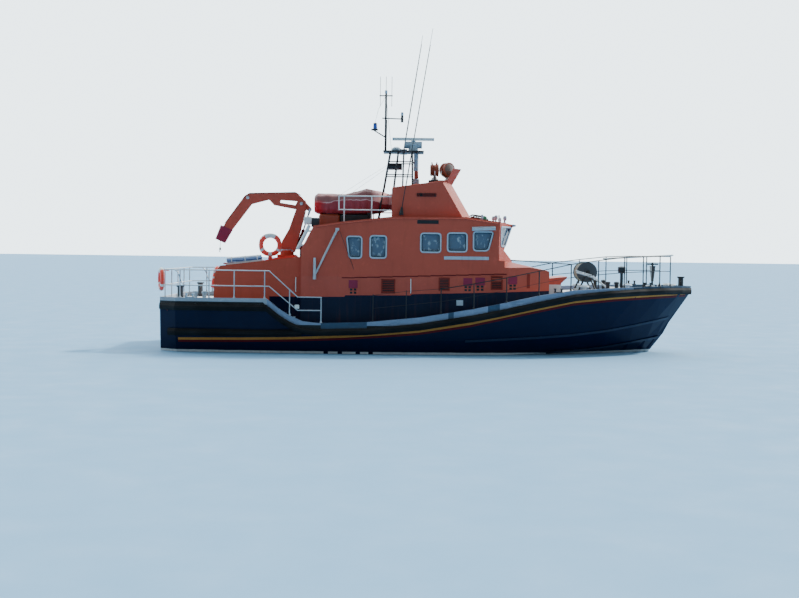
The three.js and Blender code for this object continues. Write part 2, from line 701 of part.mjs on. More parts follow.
const roofClear = cut(block([-1500, 1500], [-1700, 1700], [3700, 4500]), aboveRoofLine(-SEAT));
const ventSlot = block([-550, 60], [1200, 1600], [4980, 5090]);
const aftEntry = block([-1500, -1200], [-350, 350], [4420, 5120]);
const COCKPIT_AFT = -450;
const coverZ = along(UPPER_TOP, COCKPIT_AFT) - 50;
const cover = sideProfile(
  [[-1500, UPPER_TOP[0][1] - 70], [COCKPIT_AFT, coverZ], [COCKPIT_AFT, 6500], [-1500, 6500]],
  [-1600, 1600],
);
const cockpit = cut(upperSteering(50, true), cover);
const steering = cut(upperSteering(0, false), cockpit, roofClear, ventSlot, mirrored(ventSlot), aftEntry);
add("upper_steering_house", steering, "orange");

// Upper helm: console, seat and lamp shelf on one plinth
const LAMP_SHELF_Z = 5560;

const plinth = cut(block([-900, 500], [-700, 700], [4200, 4420]), roofClear);
const upperHelm = join(
  plinth,
  block([150, 480], [-650, 650], [4400, 5250]),
  block([-400, -60], [-550, 550], [4400, 4850]),
  sideProfile([[-430, 4700], [-350, 4700], [-360, 5150], [-430, 5150]], [-550, 550]),
  block([240, 360], [-60, 60], [5200, LAMP_SHELF_Z]),
  block([-160, 560], [-560, 560], [LAMP_SHELF_Z - 50, LAMP_SHELF_Z]),
);
add("upper_helm", upperHelm, "dark");

// Spray deflector, leaning forward from the front rim

function deflector() {
  const outline = (half, front) => {
    const starboard = [[150, -half], [front - 350, -half], [front, 450 - half]];
    return [...starboard, ...starboard.map(([x, y]) => [x, -y]).reverse()];
  };
  const low = outline(1290, 560);
  const high = outline(1330, 880);
  const outer = loft([low.map(([x, y]) => [x, y, 5330]), high.map(([x, y]) => [x, y, 5900])]);
  const inner = loft([
    outline(1265, 535).map(([x, y]) => [x - 20, y, 5320]),
    outline(1305, 855).map(([x, y]) => [x - 20, y, 5910]),
  ]);
  const behind = sideProfile([[-300, 5300], [330, 5300], [620, 5950], [-300, 5950]], [-1600, 1600]);
  return cut(outer, inner, behind);
}

const rimClear = upperSteering(-SEAT, false);
add("spray_deflector", cut(deflector(), rimClear), "orange");

// Searchlights on posts

function searchlight(x, y, z, radius, turn) {
  const drum = bar([-150, 0, z], [120, 0, z], radius - 15, 14, radius).rotateZ(turn).translate(x, y, 0);
  const post = bar([x, y, LAMP_SHELF_Z + SEAT], [x, y, z], 40, 8);
  const base = bar([x, y, LAMP_SHELF_Z + SEAT], [x, y, LAMP_SHELF_Z + 70], 110, 12, 70);
  return join(drum, post, base);
}

add("searchlight_starboard", searchlight(30, -450, 5880, 190, 0), "red");
add("searchlight_port", searchlight(470, 450, 5960, 235, -0.9), "red");

// Aft casing with the landing outside the door

const CASING_TOP = [[-6780, 2690], [HOUSE_AFT - 20, 3010]];
const casingFore = HOUSE_AFT - SEAT;
const casingSide = sideProfile(
  [[-7000, 900], [-6940, 2450], ...CASING_TOP, [casingFore, 3010], [casingFore, 900]],
  [-1900, 620],
);
const casingCross = crossProfile(
  [[-1900, 800], [620, 800], [620, 2400], [560, 3200], [-1780, 3200], [-1900, 2300]],
  [-7100, -4000],
);
const landing = block([-5300, casingFore], [600, 1950], [700, 1600]);
const cranePlinth = block([SLEW_X - 300, SLEW_X + 300], [-300, 300], [2700, CRANE_PLINTH_Z]);
const slewRing = bar([SLEW_X, 0, 2900], [SLEW_X, 0, SLEW_Z], 230, 20);
const casing = cut(join(common(casingSide, casingCross), landing, cranePlinth, slewRing), deckClear);
add("aft_casing", casing, "orange");

// Crane

const columnOutline = [
  [-5060, SLEW_Z + SEAT], [-4570, SLEW_Z + SEAT], [-4500, 3400], [-4245, 4400], [-4200, 4640], [-4230, 4860],
  [-4460, 4930], [-4520, 4600], [-4760, 3900], [-4990, 3500],
];
const ramSlot = sideProfile(
  [
    [-4400, 3360], [-4560, 3200], [-4700, 3200], [-4700, 3500],
    [-4470, 4300], [-4480, 5100], [-4000, 5100], [-4000, 4200],
  ],
  [-75, 75],
);
const boomSlot = block([-5200, -4000], [-75, 75], [4480, 5100]);
const footLugs = sideProfile([[-4560, 3230], [-4410, 3230], [-4410, 3370], [-4560, 3420]], [-130, 130]);
const footBore = sideProfile([[-4640, 3160], [-4380, 3160], [-4380, 3440], [-4640, 3440]], [-56, 56]);

// A round bar across the boat, centred on a place along it and a height
function pinAt([x, z], half, radius, sides) {
  return bar([x, -half, z], [x, half, z], radius, sides);
}

const luffBore = pinAt(LUFF_PIN, 200, boreFor(LUFF_PIN_RADIUS, 24), 24);
const footPinBore = pinAt(RAM_FOOT, 200, boreFor(20, 12), 12);
const slewFlange = bar([SLEW_X, 0, SLEW_Z + SEAT], [SLEW_X, 0, SLEW_Z + 60], 225, 20);
const column = cut(
  join(sideProfile(columnOutline, [-150, 150]), footLugs, slewFlange),
  ramSlot,
  boomSlot,
  footBore,
  luffBore,
  footPinBore,
);
add("crane_column", column, "orange");

// Boom: heel, upper beam, elbow, forearm, the box at its tip, and the lower bar
const boomSolid = sideProfile(
  [
    [-4290, 4640], [-4240, 4800], [-4340, 4960], [-4550, 5110],
    [-6100, 5060], [-6220, 4980],
    [-6950, 3975], [-7020, 4000], [-7190, 3555], [-6900, 3430], [-6660, 3850],
    [-6010, 4714], [-5436, 4870], [-5270, 4690], [-4560, 4560], [-4480, 4640],
  ],
  [-65, 65],
);
const boomGap = sideProfile([[-5080, 4780], [-4560, 4700], [-4500, 4830], [-5050, 4860]], [-100, 100]);
const lever = sideProfile(
  [[-4440, 4660], [-4120, 4510], [-4060, 4505], [-4020, 4550], [-4040, 4615], [-4240, 4820]],
  [-25, 25],
);
const eyeBore = pinAt(RAM_EYE, 200, RAM_EYE_BORE, 12);
const boomPin = pinAt(LUFF_PIN, 160, LUFF_PIN_RADIUS, 24);
add("crane_boom", join(cut(join(boomSolid, lever), boomGap, eyeBore), boomPin), "orange");

// Ram: barrel on its foot pin, rod with a forked eye
const ramLength = Math.hypot(RAM_EYE[0] - RAM_FOOT[0], RAM_EYE[1] - RAM_FOOT[1]);
const ramLean = Math.atan2(RAM_EYE[0] - RAM_FOOT[0], RAM_EYE[1] - RAM_FOOT[1]);

function onRam(geometry) {
  return geometry.rotateY(ramLean).translate(RAM_FOOT[0], 0, RAM_FOOT[1]);
}

const BARREL_LENGTH = 620;
const ROD_RADIUS = 27;
const barrel = cut(
  join(
    bar([0, 0, 40], [0, 0, BARREL_LENGTH], 48, 14),
    pinAt([0, 0], 50, 50, 14),
    pinAt([0, 0], 125, 20, 12),
  ),
  bar([0, 0, 90], [0, 0, BARREL_LENGTH + 10], ROD_RADIUS + SEAT, 12),
);
add("crane_ram_barrel", onRam(barrel), "steel");
const fork = cut(
  join(
    bar([0, 0, 330], [0, 0, ramLength - 130], ROD_RADIUS, 12),
    block([-34, 34], [-55, 55], [ramLength - 160, ramLength + 34]),
  ),
  block([-60, 60], [-31, 31], [ramLength - 115, ramLength + 60]),
);
const eyePin = pinAt([0, ramLength], 55, RAM_PIN, 12);
add("crane_ram_rod", onRam(join(fork, eyePin)), "steel");

// Foredeck locker

const lockerShape = sideProfile(
  [[COACHROOF_NOSE, 1500], [4180, 1500], [4180, 2240], [4370, 2420], [4370, 2465], [COACHROOF_NOSE, 2390]],
  [-900, 900],
);
const noseClear = block([COACHROOF_NOSE - 100, COACHROOF_NOSE + SEAT], [-2000, 2000], [1400, 2700]);
add("foredeck_locker", cut(lockerShape, deckClear, noseClear), "orange");

// Foredeck hatch lid
const lidLow = hatchDeck + HATCH.high + SEAT;
add("foredeck_hatch", block(HATCH.x, HATCH.y, [lidLow, lidLow + HATCH.lid]), "white");

// Inflatable boat under its cover, on its cradle

const INFLATABLE = [
  // x, half, low, high
  [-3900, 430, 4480, 4980],
  [-3740, 700, 4380, 5110],
  [-2900, 820, 4370, 5090],
  [-2200, 800, 4400, 5310],
  [-1800, 560, 4450, 5130],
  [-1440, 160, 4600, 4960],
];
const inflatable = loft(
  INFLATABLE.map(([x, half, low, high]) => {
    const [tube, shoulder] = [0.3, 0.62].map((share) => THREE.MathUtils.lerp(low, high, share));
    const port = [[x, half * 0.7, low], [x, half, tube], [x, half * 0.95, shoulder], [x, half * 0.4, high]];
    return [...port, ...onSide(port, -1).reverse()];
  }),
);
add("inflatable_boat", inflatable, "cover");
const saddles = [-3400, -2100].map((x) => block([x - 60, x + 60], [-620, 620], [3900, 4460]));
const runners = [-500, 500].map((y) => block([-3400, -2100], [y - 40, y + 40], [3900, 4340]));
const underCradle = cut(block([-3700, -1800], [-900, 900], [3700, 4500]), aboveRoofLine(-SEAT));
const aboveRoof = cut(block([-3600, -1900], [-800, 800], [3800, 4600]), underCradle);
const inflatableClear = inflatable.clone().translate(0, 0, -SEAT);
const cradle = cut(common(join(...saddles, ...runners), aboveRoof), inflatableClear, inflatable);
add("inflatable_cradle", cradle, "black");

// Roof rails beside the inflatable

const RAIL = 20;
const ROOF_RAIL_Y = 1350;
const roofRail = cut(
  join(
    bar([-3050, ROOF_RAIL_Y, 4970], [UPPER_AFT - SEAT, ROOF_RAIL_Y, 4970], RAIL),
    bar([-3050, ROOF_RAIL_Y, 4530], [UPPER_AFT - SEAT, ROOF_RAIL_Y, 4530], RAIL),
    bar([-3050, ROOF_RAIL_Y, 4530 - RAIL], [-3050, ROOF_RAIL_Y, 4970 + RAIL], RAIL),
    ...[-2880, -2000].map((x) => bar([x, ROOF_RAIL_Y, roofAt(x) - 30], [x, ROOF_RAIL_Y, 4970], RAIL)),
  ),
  cut(block([-3300, -1000], [1000, 1700], [3800, 4500]), aboveRoofLine(-SEAT)),
);
addPair("roof_rail", roofRail, "white");

// Lattice mast, its platform, and two whips standing on it

const MAST_LEGS = [
  // footX, footZ, topX
  [-1810, 4200, -1430],
  [-1320, 5180, -1170],
  [-1020, 5200, -990],
  [-690, 5240, -710],
];
const LEG_FOOT_HALF = 620;
// Clear of the turning scanner
const MAST_WHIP_Y = 800;

// A point on a mast leg at a height, on the port side
function onLeg([footX, footZ, topX], z) {
  const share = (z - footZ) / (PLATFORM_Z - footZ);
  const y = THREE.MathUtils.mapLinear(z, 5200, PLATFORM_Z, LEG_FOOT_HALF, MAST_HALF);
  return [footX + (topX - footX) * share, Math.min(y, LEG_FOOT_HALF), z];
}

function mastHalf() {
  const legs = MAST_LEGS.map((leg) => bar(onLeg(leg, leg[1]), onLeg(leg, PLATFORM_Z), 28));
  const rungs = [5720, 6150].flatMap((z) => {
    const ends = [onLeg(MAST_LEGS[0], z), onLeg(MAST_LEGS[3], z)];
    return [bar(...ends, 20), ...ends.map(([x, y]) => bar([x, -20, z], [x, y, z], 20))];
  });
  const whip = bar([-1000, MAST_WHIP_Y, PLATFORM_Z], [-430, MAST_WHIP_Y, 10200], 14, 6, 7);
  const whipArm = block([-1120, -880], [MAST_HALF - 40, MAST_WHIP_Y + 40], [PLATFORM_Z - 20, PLATFORM_Z + 30]);
  return join(...legs, ...rungs, whipArm, whip);
}

const platform = block([-1660, -330], [-MAST_HALF - 40, MAST_HALF + 40], [PLATFORM_Z - 30, PLATFORM_Z + 20]);
const lampPillar = bar([-580, 0, 5900], [-580, 0, PLATFORM_Z], 75, 12);
const pillarRung = bar([-700, -MAST_HALF, 6150], [-700, MAST_HALF, 6150], 30);
const pillarArm = bar([-710, 0, 6150], [-560, 0, 6150], 30);

// Its pole with cross-arms, rods and the bracket of the blue light
const POLE_X = -1600;
const poleMast = join(
  bar([POLE_X, 0, PLATFORM_Z], [POLE_X, 0, 8420], 36, 8),
  bar([POLE_X, 0, PLATFORM_Z], [POLE_X, 0, PLATFORM_Z + 50], 80, 8),
  bar([POLE_X - 220, 0, 8350], [POLE_X + 220, 0, 8350], 22),
  ...[-190, 0, 190].map((x) => bar([POLE_X + x, 0, x ? 8000 : 8400], [POLE_X + x, 0, 8980], 9)),
  bar([POLE_X - 120, 0, 7610], [POLE_X + 560, 0, 7590], 22),
  bar([POLE_X + 540, 0, 7480], [POLE_X + 540, 0, 7700], 45, 8),
  bar([POLE_X, 0, 6980], [POLE_X - 420, 0, 7230], 22),
  block([POLE_X - 480, POLE_X - 250], [-90, 90], [7210, 7250]),
  bar([POLE_X - 350, 0, 7240], [POLE_X - 350, 0, 7440], 65, 10),
);

const mastRaw = join(mastHalf(), mirrored(mastHalf()), platform, lampPillar, pillarRung, pillarArm, poleMast);
const belowRoof = cut(block([-2200, -1365], [-1700, 1700], [3700, 4600]), aboveRoofLine(-SEAT));
const steeringClear = upperSteering(0, false).clone().translate(0, 0, SEAT);
add("mast_frame", cut(mastRaw, belowRoof, steeringClear), "dark");

// Radar
const radarFoot = PLATFORM_Z + 20 + SEAT;
const RADAR_COLLAR_Z = 6866;
const radarMotor = join(
  bar([SCANNER_AT[0], 0, radarFoot], [SCANNER_AT[0], 0, 6700], 170, 12, 150),
  bar([SCANNER_AT[0] - 290, 0, 6740], [SCANNER_AT[0] + 290, 0, 6740], 115, 12),
  bar([SCANNER_AT[0], 0, 6740], [SCANNER_AT[0], 0, RADAR_COLLAR_Z], 80, 12),
);
add("radar_motor", radarMotor, "lightGrey");
const scanner = join(
  bar([SCANNER_AT[0], 0, RADAR_COLLAR_Z + SEAT], [SCANNER_AT[0], 0, SCANNER_AT[1]], 60, 12),
  block(
    [SCANNER_AT[0] - SCANNER_LENGTH / 2, SCANNER_AT[0] + SCANNER_LENGTH / 2],
    [-60, 60],
    [SCANNER_AT[1] - 45, SCANNER_AT[1] + 45],
  ),
);
add("radar_scanner", scanner, "white");

// Whips on cones at the sides of the upper steering house
const WHIP_FOOT = [-1050, 1520, 4420];
const whipBracket = block(
  [WHIP_FOOT[0] - 70, WHIP_FOOT[0] + 70],
  [1400, WHIP_FOOT[1] + 70],
  [WHIP_FOOT[2] - 40, WHIP_FOOT[2]],
);
const steeringGrown = upperSteering(-SEAT, false);
const whip = join(
  bar(WHIP_FOOT, [-1030, 1520, 4640], 75, 12, 25),
  bar([-1030, 1520, 4620], [-120, 1520, 10300], 15, 6, 7),
  cut(whipBracket, steeringGrown),
);
addPair("whip_antenna", whip, "white");

// Rails round the stern and down to the side decks
const STERN_RAIL_TOP = 2560;
const STERN_RAIL_MID = 2080;
const railY = (x) => halfBreadth(x) - 55;
const transomPostFoot = bandTop(-8450) - BAND_HEIGHT + SEAT;

const STERN_POSTS = [
  // x, top
  [-7910, STERN_RAIL_TOP],
  [-7000, STERN_RAIL_TOP],
  [-6210, STERN_RAIL_TOP],
  [-5260, STERN_RAIL_TOP],
  [-4480, 2010],
  [-3500, 1760],
];

// A rail's foot goes into the band's height, and is then trimmed to stand on its top
function railPost(x, top) {
  return bar([x, railY(x), bandTop(x) - 40], [x, railY(x), top], RAIL);
}

const bandClear = geometryOf(solidOf(bandSide)).translate(0, 0, SEAT);

function sternRailRun(high, low) {
  return pipe(
    [[-8450, RAIL + 5, high], [-8450, 2180, high], [-8400, 2380, high], [-7910, railY(-7910), high],
      [-5120, railY(-5120), high], [-4230, railY(-4230), low], [-3480, railY(-3500), low]],
    RAIL - 2,
  );
}

const sternRail = join(
  sternRailRun(STERN_RAIL_TOP, 1760),
  sternRailRun(STERN_RAIL_MID, 1350),
  ...STERN_POSTS.map(([x, top]) => railPost(x, top)),
  ...[RAIL + 5, 1100, 2180].map((y) => bar([-8450, y, transomPostFoot], [-8450, y, STERN_RAIL_TOP], RAIL)),
);
addPair("stern_rail", cut(sternRail, bandClear), "lightGrey");

// Dark rails along the side decks and round the bow
const SIDE_POSTS = [
  // x, top
  [220, 2070],
  [1240, 2240],
  [2260, 2440],
  [3280, 2660],
  [4300, 2880],
  [5200, 3010],
  [6080, 3120],
  [6740, 3150],
  [7350, 3160],
  [7750, 3160],
];

function bowRailSide() {
  const tops = SIDE_POSTS.map(([x, top]) => [x, railY(x), top]);
  const mids = SIDE_POSTS.slice(4).map(([x, top]) => [x, railY(x), (top + bandTop(x)) / 2]);
  return join(
    pipe([...tops, [7750, 0.2, 3160]], 16),
    pipe(mids, 12),
    ...SIDE_POSTS.map(([x, top]) => railPost(x, top)),
    bar([4300, railY(4300), 2880], [2420, 1990, 2980], 14),
  );
}

addPair("bow_rail", cut(bowRailSide(), bandClear), "black");

// Towing reel with its frame and rope
const REEL = { x: 5090, z: 2610, half: 420, radius: 330 };
const reelDeck = deckTop(REEL.x) + SEAT;
const reelFrame = join(
  ...[-1, 1].flatMap((side) => [
    bar([REEL.x - 300, side * 500, reelDeck], [REEL.x, side * 500, REEL.z], 32),
    bar([REEL.x + 300, side * 500, reelDeck], [REEL.x, side * 500, REEL.z], 32),
    bar([REEL.x, side * 460, REEL.z], [REEL.x, side * 540, REEL.z], 75, 12),
    bar([REEL.x - 300, side * 500, reelDeck + 34], [REEL.x + 300, side * 500, reelDeck + 34], 26),
  ]),
  bar([REEL.x - 290, -500, reelDeck + 60], [REEL.x - 290, 500, reelDeck + 60], 26),
);
const reelBore = bar([REEL.x, -440, REEL.z], [REEL.x, 600, REEL.z], boreFor(34, 24), 24);
add("reel_frame", cut(reelFrame, reelBore, mirrored(reelBore), deckClear), "dark");
const reelDrum = join(
  bar([REEL.x, -530, REEL.z], [REEL.x, 530, REEL.z], 34, 24),
  bar([REEL.x, -REEL.half, REEL.z], [REEL.x, -REEL.half + 25, REEL.z], REEL.radius, 20),
  bar([REEL.x, REEL.half - 25, REEL.z], [REEL.x, REEL.half, REEL.z], REEL.radius, 20),
  bar([REEL.x, -REEL.half, REEL.z], [REEL.x, REEL.half, REEL.z], 260, 18),
);
add("reel_drum", reelDrum, "dark");

// Anchor, stowed upright in its chock at the bow
const ANCHOR_X = 7330;
const anchorDeck = deckTop(ANCHOR_X) + SEAT;
const anchor = join(
  block([ANCHOR_X - 170, ANCHOR_X + 170], [-160, 160], [anchorDeck, anchorDeck + 70]),
  bar([ANCHOR_X, 0, anchorDeck + 40], [ANCHOR_X, 0, 2960], 34, 8),
  bar([ANCHOR_X - 170, 0, 2900], [ANCHOR_X + 190, 0, 2900], 30),
  loft(
    [[40, 30, 2330], [60, 190, 2840]].map(([long, wide, z]) => [
      [ANCHOR_X - long, -wide, z],
      [ANCHOR_X + long, -wide, z],
      [ANCHOR_X + long, wide, z],
      [ANCHOR_X - long, wide, z],
    ]),
  ),
);
add("anchor", cut(anchor, deckClear), "dark");

// Bollards: one on the centreline at the bow, one on each quarter
function bollard(x, y, top) {
  const foot = bandTop(x) - BAND_HEIGHT - 30;
  return cut(
    join(
      bar([x, y, foot], [x, y, top], 90, 12),
      bar([x, y, top - 50], [x, y, top], 125, 12),
      bar([x, y - 170, top - 160], [x, y + 170, top - 160], 28, 8),
      block([x - 150, x + 150], [y - 150, y + 150], [foot, bandTop(x) - BAND_HEIGHT + 25]),
    ),
    deckClear,
  );
}

const BOLLARD_BOW = [8280, 2500];
add("bollard_bow", bollard(BOLLARD_BOW[0], 0, BOLLARD_BOW[1]), "dark");
addPair("bollard_quarter", bollard(-8020, 1900, 2050), "dark");

// Ring lifebuoys

function ringBuoy(radius, tube) {
  const profile = new THREE.Path().absarc(radius, 0, tube, 0, Math.PI * 2).getPoints(6).slice(0, -1);
  profile.push(profile[0].clone());
  return new THREE.LatheGeometry(profile, 16);
}

const casingTop = (x) => along(CASING_TOP, x);
const RING_AT = [-5260, -1190, 3370];
const ringFootZ = [casingTop(RING_AT[0]) - 100, RING_AT[2] - 330];
const ringFoot = block([RING_AT[0] - 60, RING_AT[0] + 60], [-1230, -1150], ringFootZ);
const casingLine = CASING_TOP.map(([x, z]) => [x, z + SEAT]);
const casingClear = sideProfile(
  [[-7000, 2000], ...casingLine, [HOUSE_AFT, 3010 + SEAT], [HOUSE_AFT, 2000]],
  [-2000, 2000],
);
add("lifebuoy_casing", cut(join(ringBuoy(300, 72).translate(...RING_AT), ringFoot), casingClear), "red");
const STERN_RING_AT = [-8700, -1530, 2230];
const STERN_RING_TURN = 0.32;
const sternRing = ringBuoy(300, 72).rotateZ(Math.PI / 2 + STERN_RING_TURN).translate(...STERN_RING_AT);
const ringClip = cut(
  block([STERN_RING_AT[0], -8455], [-1560, -1500], [2500, 2560]),
  mirrored(sternRail).translate(-SEAT, 0, 0),
);
add("lifebuoy_stern", join(sternRing, ringClip), "red");

// Horseshoe buoy on the casing's aft face
const HORSESHOE_FOOT = [-7060, 1980];
const HORSESHOE_HEAD = [-6940, 2620];
const HORSESHOE_ARCH = [-6944, 2608];
const horseshoeArms = [-1500, -1100].map((y) => {
  const [foot, head] = [HORSESHOE_FOOT, HORSESHOE_HEAD].map(([x, z]) => [x, y, z]);
  return bar(foot, head, 80, 10);
});
const horseshoeArch = pinAt(HORSESHOE_ARCH, 255, 84, 12).translate(0, -1300, 0);
const horseshoe = join(...horseshoeArms, horseshoeArch);
const casingAftClear = sideProfile(
  [[-7000 - SEAT, 900], [-6940 - SEAT, 2450], [-6780, 2690 + SEAT], [-6500, 2750], [-6500, 900]],
  [-2000, 2000],
);
add("horseshoe_buoy", cut(horseshoe, casingAftClear), "red");

// Rolled net in a tube on the casing
const rollSaddles = [-6350, -5750].map((x) => block([x - 30, x + 30], [-1620, -1440], [2600, 2900]));
const rollTube = bar([-6600, -1530, casingTop(-6600) + 150], [-5500, -1530, casingTop(-5500) + 110], 95, 12);
const roll = cut(join(rollTube, ...rollSaddles), casingClear);
add("rolled_net", roll, "steel");

// Recovery pole stowed on the starboard side of the deckhouse
const houseGrown = join(lowerHouse(-SEAT), upperHouse(-SEAT));
const pole = cut(
  join(
    bar([-3060, 1960, 3890], [-3760, 2080, 2420], 34, 8),
    bar([-3060, 1960, 3850], [-3060, 1960, 3930], 60, 10),
    ...[[-3130, 3740], [-3680, 2580]].map(([x, z]) => block([x - 30, x + 30], [1700, 2050], [z - 30, z + 30])),
    bar([-3760, 2080, 2300], [-3760, 2080, 2980], 55, 8, 40),
  ),
  houseGrown,
);
add("recovery_pole", mirrored(pole), "lightGrey");

// Ladder down the transom
const LADDER_X = -8640;
const LADDER_SIDES = [-1350, -850];
const ladder = join(
  ...LADDER_SIDES.map((y) => bar([LADDER_X, y, 120], [LADDER_X, y, 1380], RAIL)),
  ...[250, 600, 950, 1300].map((z) => bar(...LADDER_SIDES.map((y) => [LADDER_X, y, z]), RAIL)),
  ...LADDER_SIDES.flatMap((y) => [250, 1300].map((z) => bar([LADDER_X, y, z], [TRANSOM_X - SEAT, y, z], RAIL))),
);
add("transom_ladder", ladder, "steel");

export default boat;
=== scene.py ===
import json
import math

import bmesh
import bpy
import numpy as np
from mathutils import Matrix, Vector
from mathutils.bvhtree import BVHTree


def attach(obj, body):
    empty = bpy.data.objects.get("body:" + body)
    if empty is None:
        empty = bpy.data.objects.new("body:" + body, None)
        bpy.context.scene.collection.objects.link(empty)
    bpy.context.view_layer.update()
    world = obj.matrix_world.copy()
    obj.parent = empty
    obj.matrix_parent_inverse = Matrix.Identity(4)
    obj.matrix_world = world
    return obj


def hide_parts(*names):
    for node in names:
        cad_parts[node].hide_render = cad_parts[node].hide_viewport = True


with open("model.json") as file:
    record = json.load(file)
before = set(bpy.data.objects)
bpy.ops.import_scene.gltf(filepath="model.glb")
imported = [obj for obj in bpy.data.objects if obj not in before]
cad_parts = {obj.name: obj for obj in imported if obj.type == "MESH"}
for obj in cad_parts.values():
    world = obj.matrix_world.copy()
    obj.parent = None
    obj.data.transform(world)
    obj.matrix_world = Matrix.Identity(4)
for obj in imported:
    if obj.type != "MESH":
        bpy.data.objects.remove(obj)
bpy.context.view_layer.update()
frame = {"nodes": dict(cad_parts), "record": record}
NODES = frame["nodes"]

# Camera

HORIZON_PX = 49  # above the middle of the picture
FOCAL_PX = 1190
PICTURE = (799, 598)
CAMERA_AT = (-1.07, -39.6, 3.26)
ROLL_DEG = 0.75
SENSOR_WIDTH = 36


def add_camera():
    data = bpy.data.cameras.new("camera")
    data.sensor_width = SENSOR_WIDTH
    data.lens = FOCAL_PX / PICTURE[0] * SENSOR_WIDTH
    data.clip_end = 500
    camera = bpy.data.objects.new("camera", data)
    bpy.context.scene.collection.objects.link(camera)
    pitch = -math.atan2(HORIZON_PX, FOCAL_PX)
    look = Matrix.Rotation(pitch, 4, "X") @ Matrix.Rotation(math.pi / 2, 4, "X")
    roll = Matrix.Rotation(math.radians(ROLL_DEG), 4, "Z")
    camera.matrix_world = Matrix.Translation(CAMERA_AT) @ look @ roll
    bpy.context.scene.camera = camera


add_camera()


# Light and floor

SKY_COLOUR = (0.80, 0.93, 1.0, 1)
SKY_STRENGTH = (0.4, 4.0)  # on the starboard side and on the port side
SKY_TURN = (-0.5, 0.9)  # the directions between which it rises
SUN_FROM = (30, 18, 30)
SUN_AIM = (0, 0, 1)
SUN_STRENGTH = 5.0
SUN_ANGLE = 0.08
SUN_COLOUR = (1, 0.95, 0.88)


def add_sky():
    world = bpy.data.worlds.new("world")
    bpy.context.scene.world = world
    world.use_nodes = True
    tree = world.node_tree
    sky = tree.nodes["Background"]
    sky.inputs["Color"].default_value = SKY_COLOUR
    direction = tree.nodes.new("ShaderNodeTexCoord").outputs["Generated"]
    split = tree.nodes.new("ShaderNodeSeparateXYZ")
    ramp = tree.nodes.new("ShaderNodeMapRange")
    ramp.interpolation_type = "SMOOTHSTEP"
    for socket, value in zip(ramp.inputs[1:5], (*SKY_TURN, *SKY_STRENGTH)):
        socket.default_value = value
    tree.links.new(direction, split.inputs[0])
    tree.links.new(split.outputs["Y"], ramp.inputs[0])
    tree.links.new(ramp.outputs[0], sky.inputs["Strength"])


def add_sun():
    data = bpy.data.lights.new("key", "SUN")
    data.energy = SUN_STRENGTH
    data.color = SUN_COLOUR
    data.angle = SUN_ANGLE
    lamp = bpy.data.objects.new("key", data)
    bpy.context.scene.collection.objects.link(lamp)
    lamp.location = SUN_FROM
    lamp.rotation_mode = "QUATERNION"
    lamp.rotation_quaternion = (Vector(SUN_AIM) - Vector(SUN_FROM)).to_track_quat("-Z", "Y")


add_sky()
add_sun()


# Paint, metal, rubber, glass and cloth, each with its grain and wear

def linear(hexcode):
    """A hex colour as linear red, green, blue and a full alpha."""
    channels = [(hexcode >> shift & 255) / 255 for shift in (16, 8, 0)]
    return [c / 12.92 if c <= 0.04045 else ((c + 0.055) / 1.055) ** 2.4 for c in channels] + [1.0]


class Shader:
    """A material's node tree, with short calls for the nodes used here."""

    def __init__(self, name):
        self.material = bpy.data.materials.new(name)
        self.material.use_nodes = True
        self.tree = self.material.node_tree
        self.skin = self.tree.nodes["Principled BSDF"]
        self.place = self.node("ShaderNodeTexCoord").outputs["Object"]
        split = self.node("ShaderNodeSeparateXYZ", {0: self.place})
        self.x, self.y, self.z = (split.outputs[k] for k in range(3))

    def node(self, kind, inputs=None, **settings):
        made = self.tree.nodes.new(kind)
        for key, value in settings.items():
            setattr(made, key, value)
        for key, value in (inputs or {}).items():
            self.put(made.inputs[key], value)
        return made

    def put(self, socket, value):
        if isinstance(value, bpy.types.NodeSocket):
            self.tree.links.new(value, socket)
        else:
            socket.default_value = value

    def math(self, operation, a, b=0.0):
        return self.node("ShaderNodeMath", {0: a, 1: b}, operation=operation).outputs[0]

    def noise(self, scale, detail=3.0, stretch=(1, 1, 1), rough=0.55, shift=(0, 0, 0)):
        placing = {"Vector": self.place, "Scale": stretch, "Location": shift}
        mapped = self.node("ShaderNodeMapping", placing).outputs[0]
        grain = {"Vector": mapped, "Scale": scale, "Detail": detail, "Roughness": rough}
        return self.node("ShaderNodeTexNoise", grain).outputs["Fac"]

    def ramp(self, value, low, high, start=0.0, end=1.0):
        made = self.node("ShaderNodeMapRange", {0: value, 1: low, 2: high, 3: start, 4: end})
        return made.outputs[0]

    def mix(self, share, a, b, blend="MIX"):
        made = self.node("ShaderNodeMix", {0: share, 6: a, 7: b}, data_type="RGBA", blend_type=blend)
        return made.outputs[2]

    def finished(self, inputs):
        for key, value in inputs.items():
            self.put(self.skin.inputs[key], value)
        return self.material

    def line(self, along, points):
        """The height of a broken line through the points, at a place along it."""
        (low, high), heights = (points[0][0], points[-1][0]), [p[1] for p in points]
        floor, top = min(heights), max(heights) + 1e-6
        share = self.ramp(along, low, high)
        curve = self.node("ShaderNodeFloatCurve", {1: share})
        handles = curve.mapping.curves[0].points
        while len(handles) < len(points):
            handles.new(0.5, 0.5)
        for handle, (at, height) in zip(handles, points):
            handle.location = ((at - low) / (high - low), (height - floor) / (top - floor))
            handle.handle_type = "VECTOR"
        curve.mapping.update()
        return self.ramp(curve.outputs[0], 0, 1, floor, top)

    def above(self, value, limit, soft=0.004):
        """0 below the limit and 1 above it."""
        return self.ramp(self.math("SUBTRACT", value, limit), -soft, soft)

    def below(self, value, limit, soft=0.004):
        return self.math("SUBTRACT", 1.0, self.above(value, limit, soft))

    def within(self, value, runs):
        """1 inside any of the runs of (low, high), and 0 outside them."""
        inside = 0.0
        for low, high in runs:
            run = self.math("MULTIPLY", self.above(value, low), self.below(value, high))
            inside = self.math("ADD", inside, run)
        return self.math("MINIMUM", inside, 1.0)


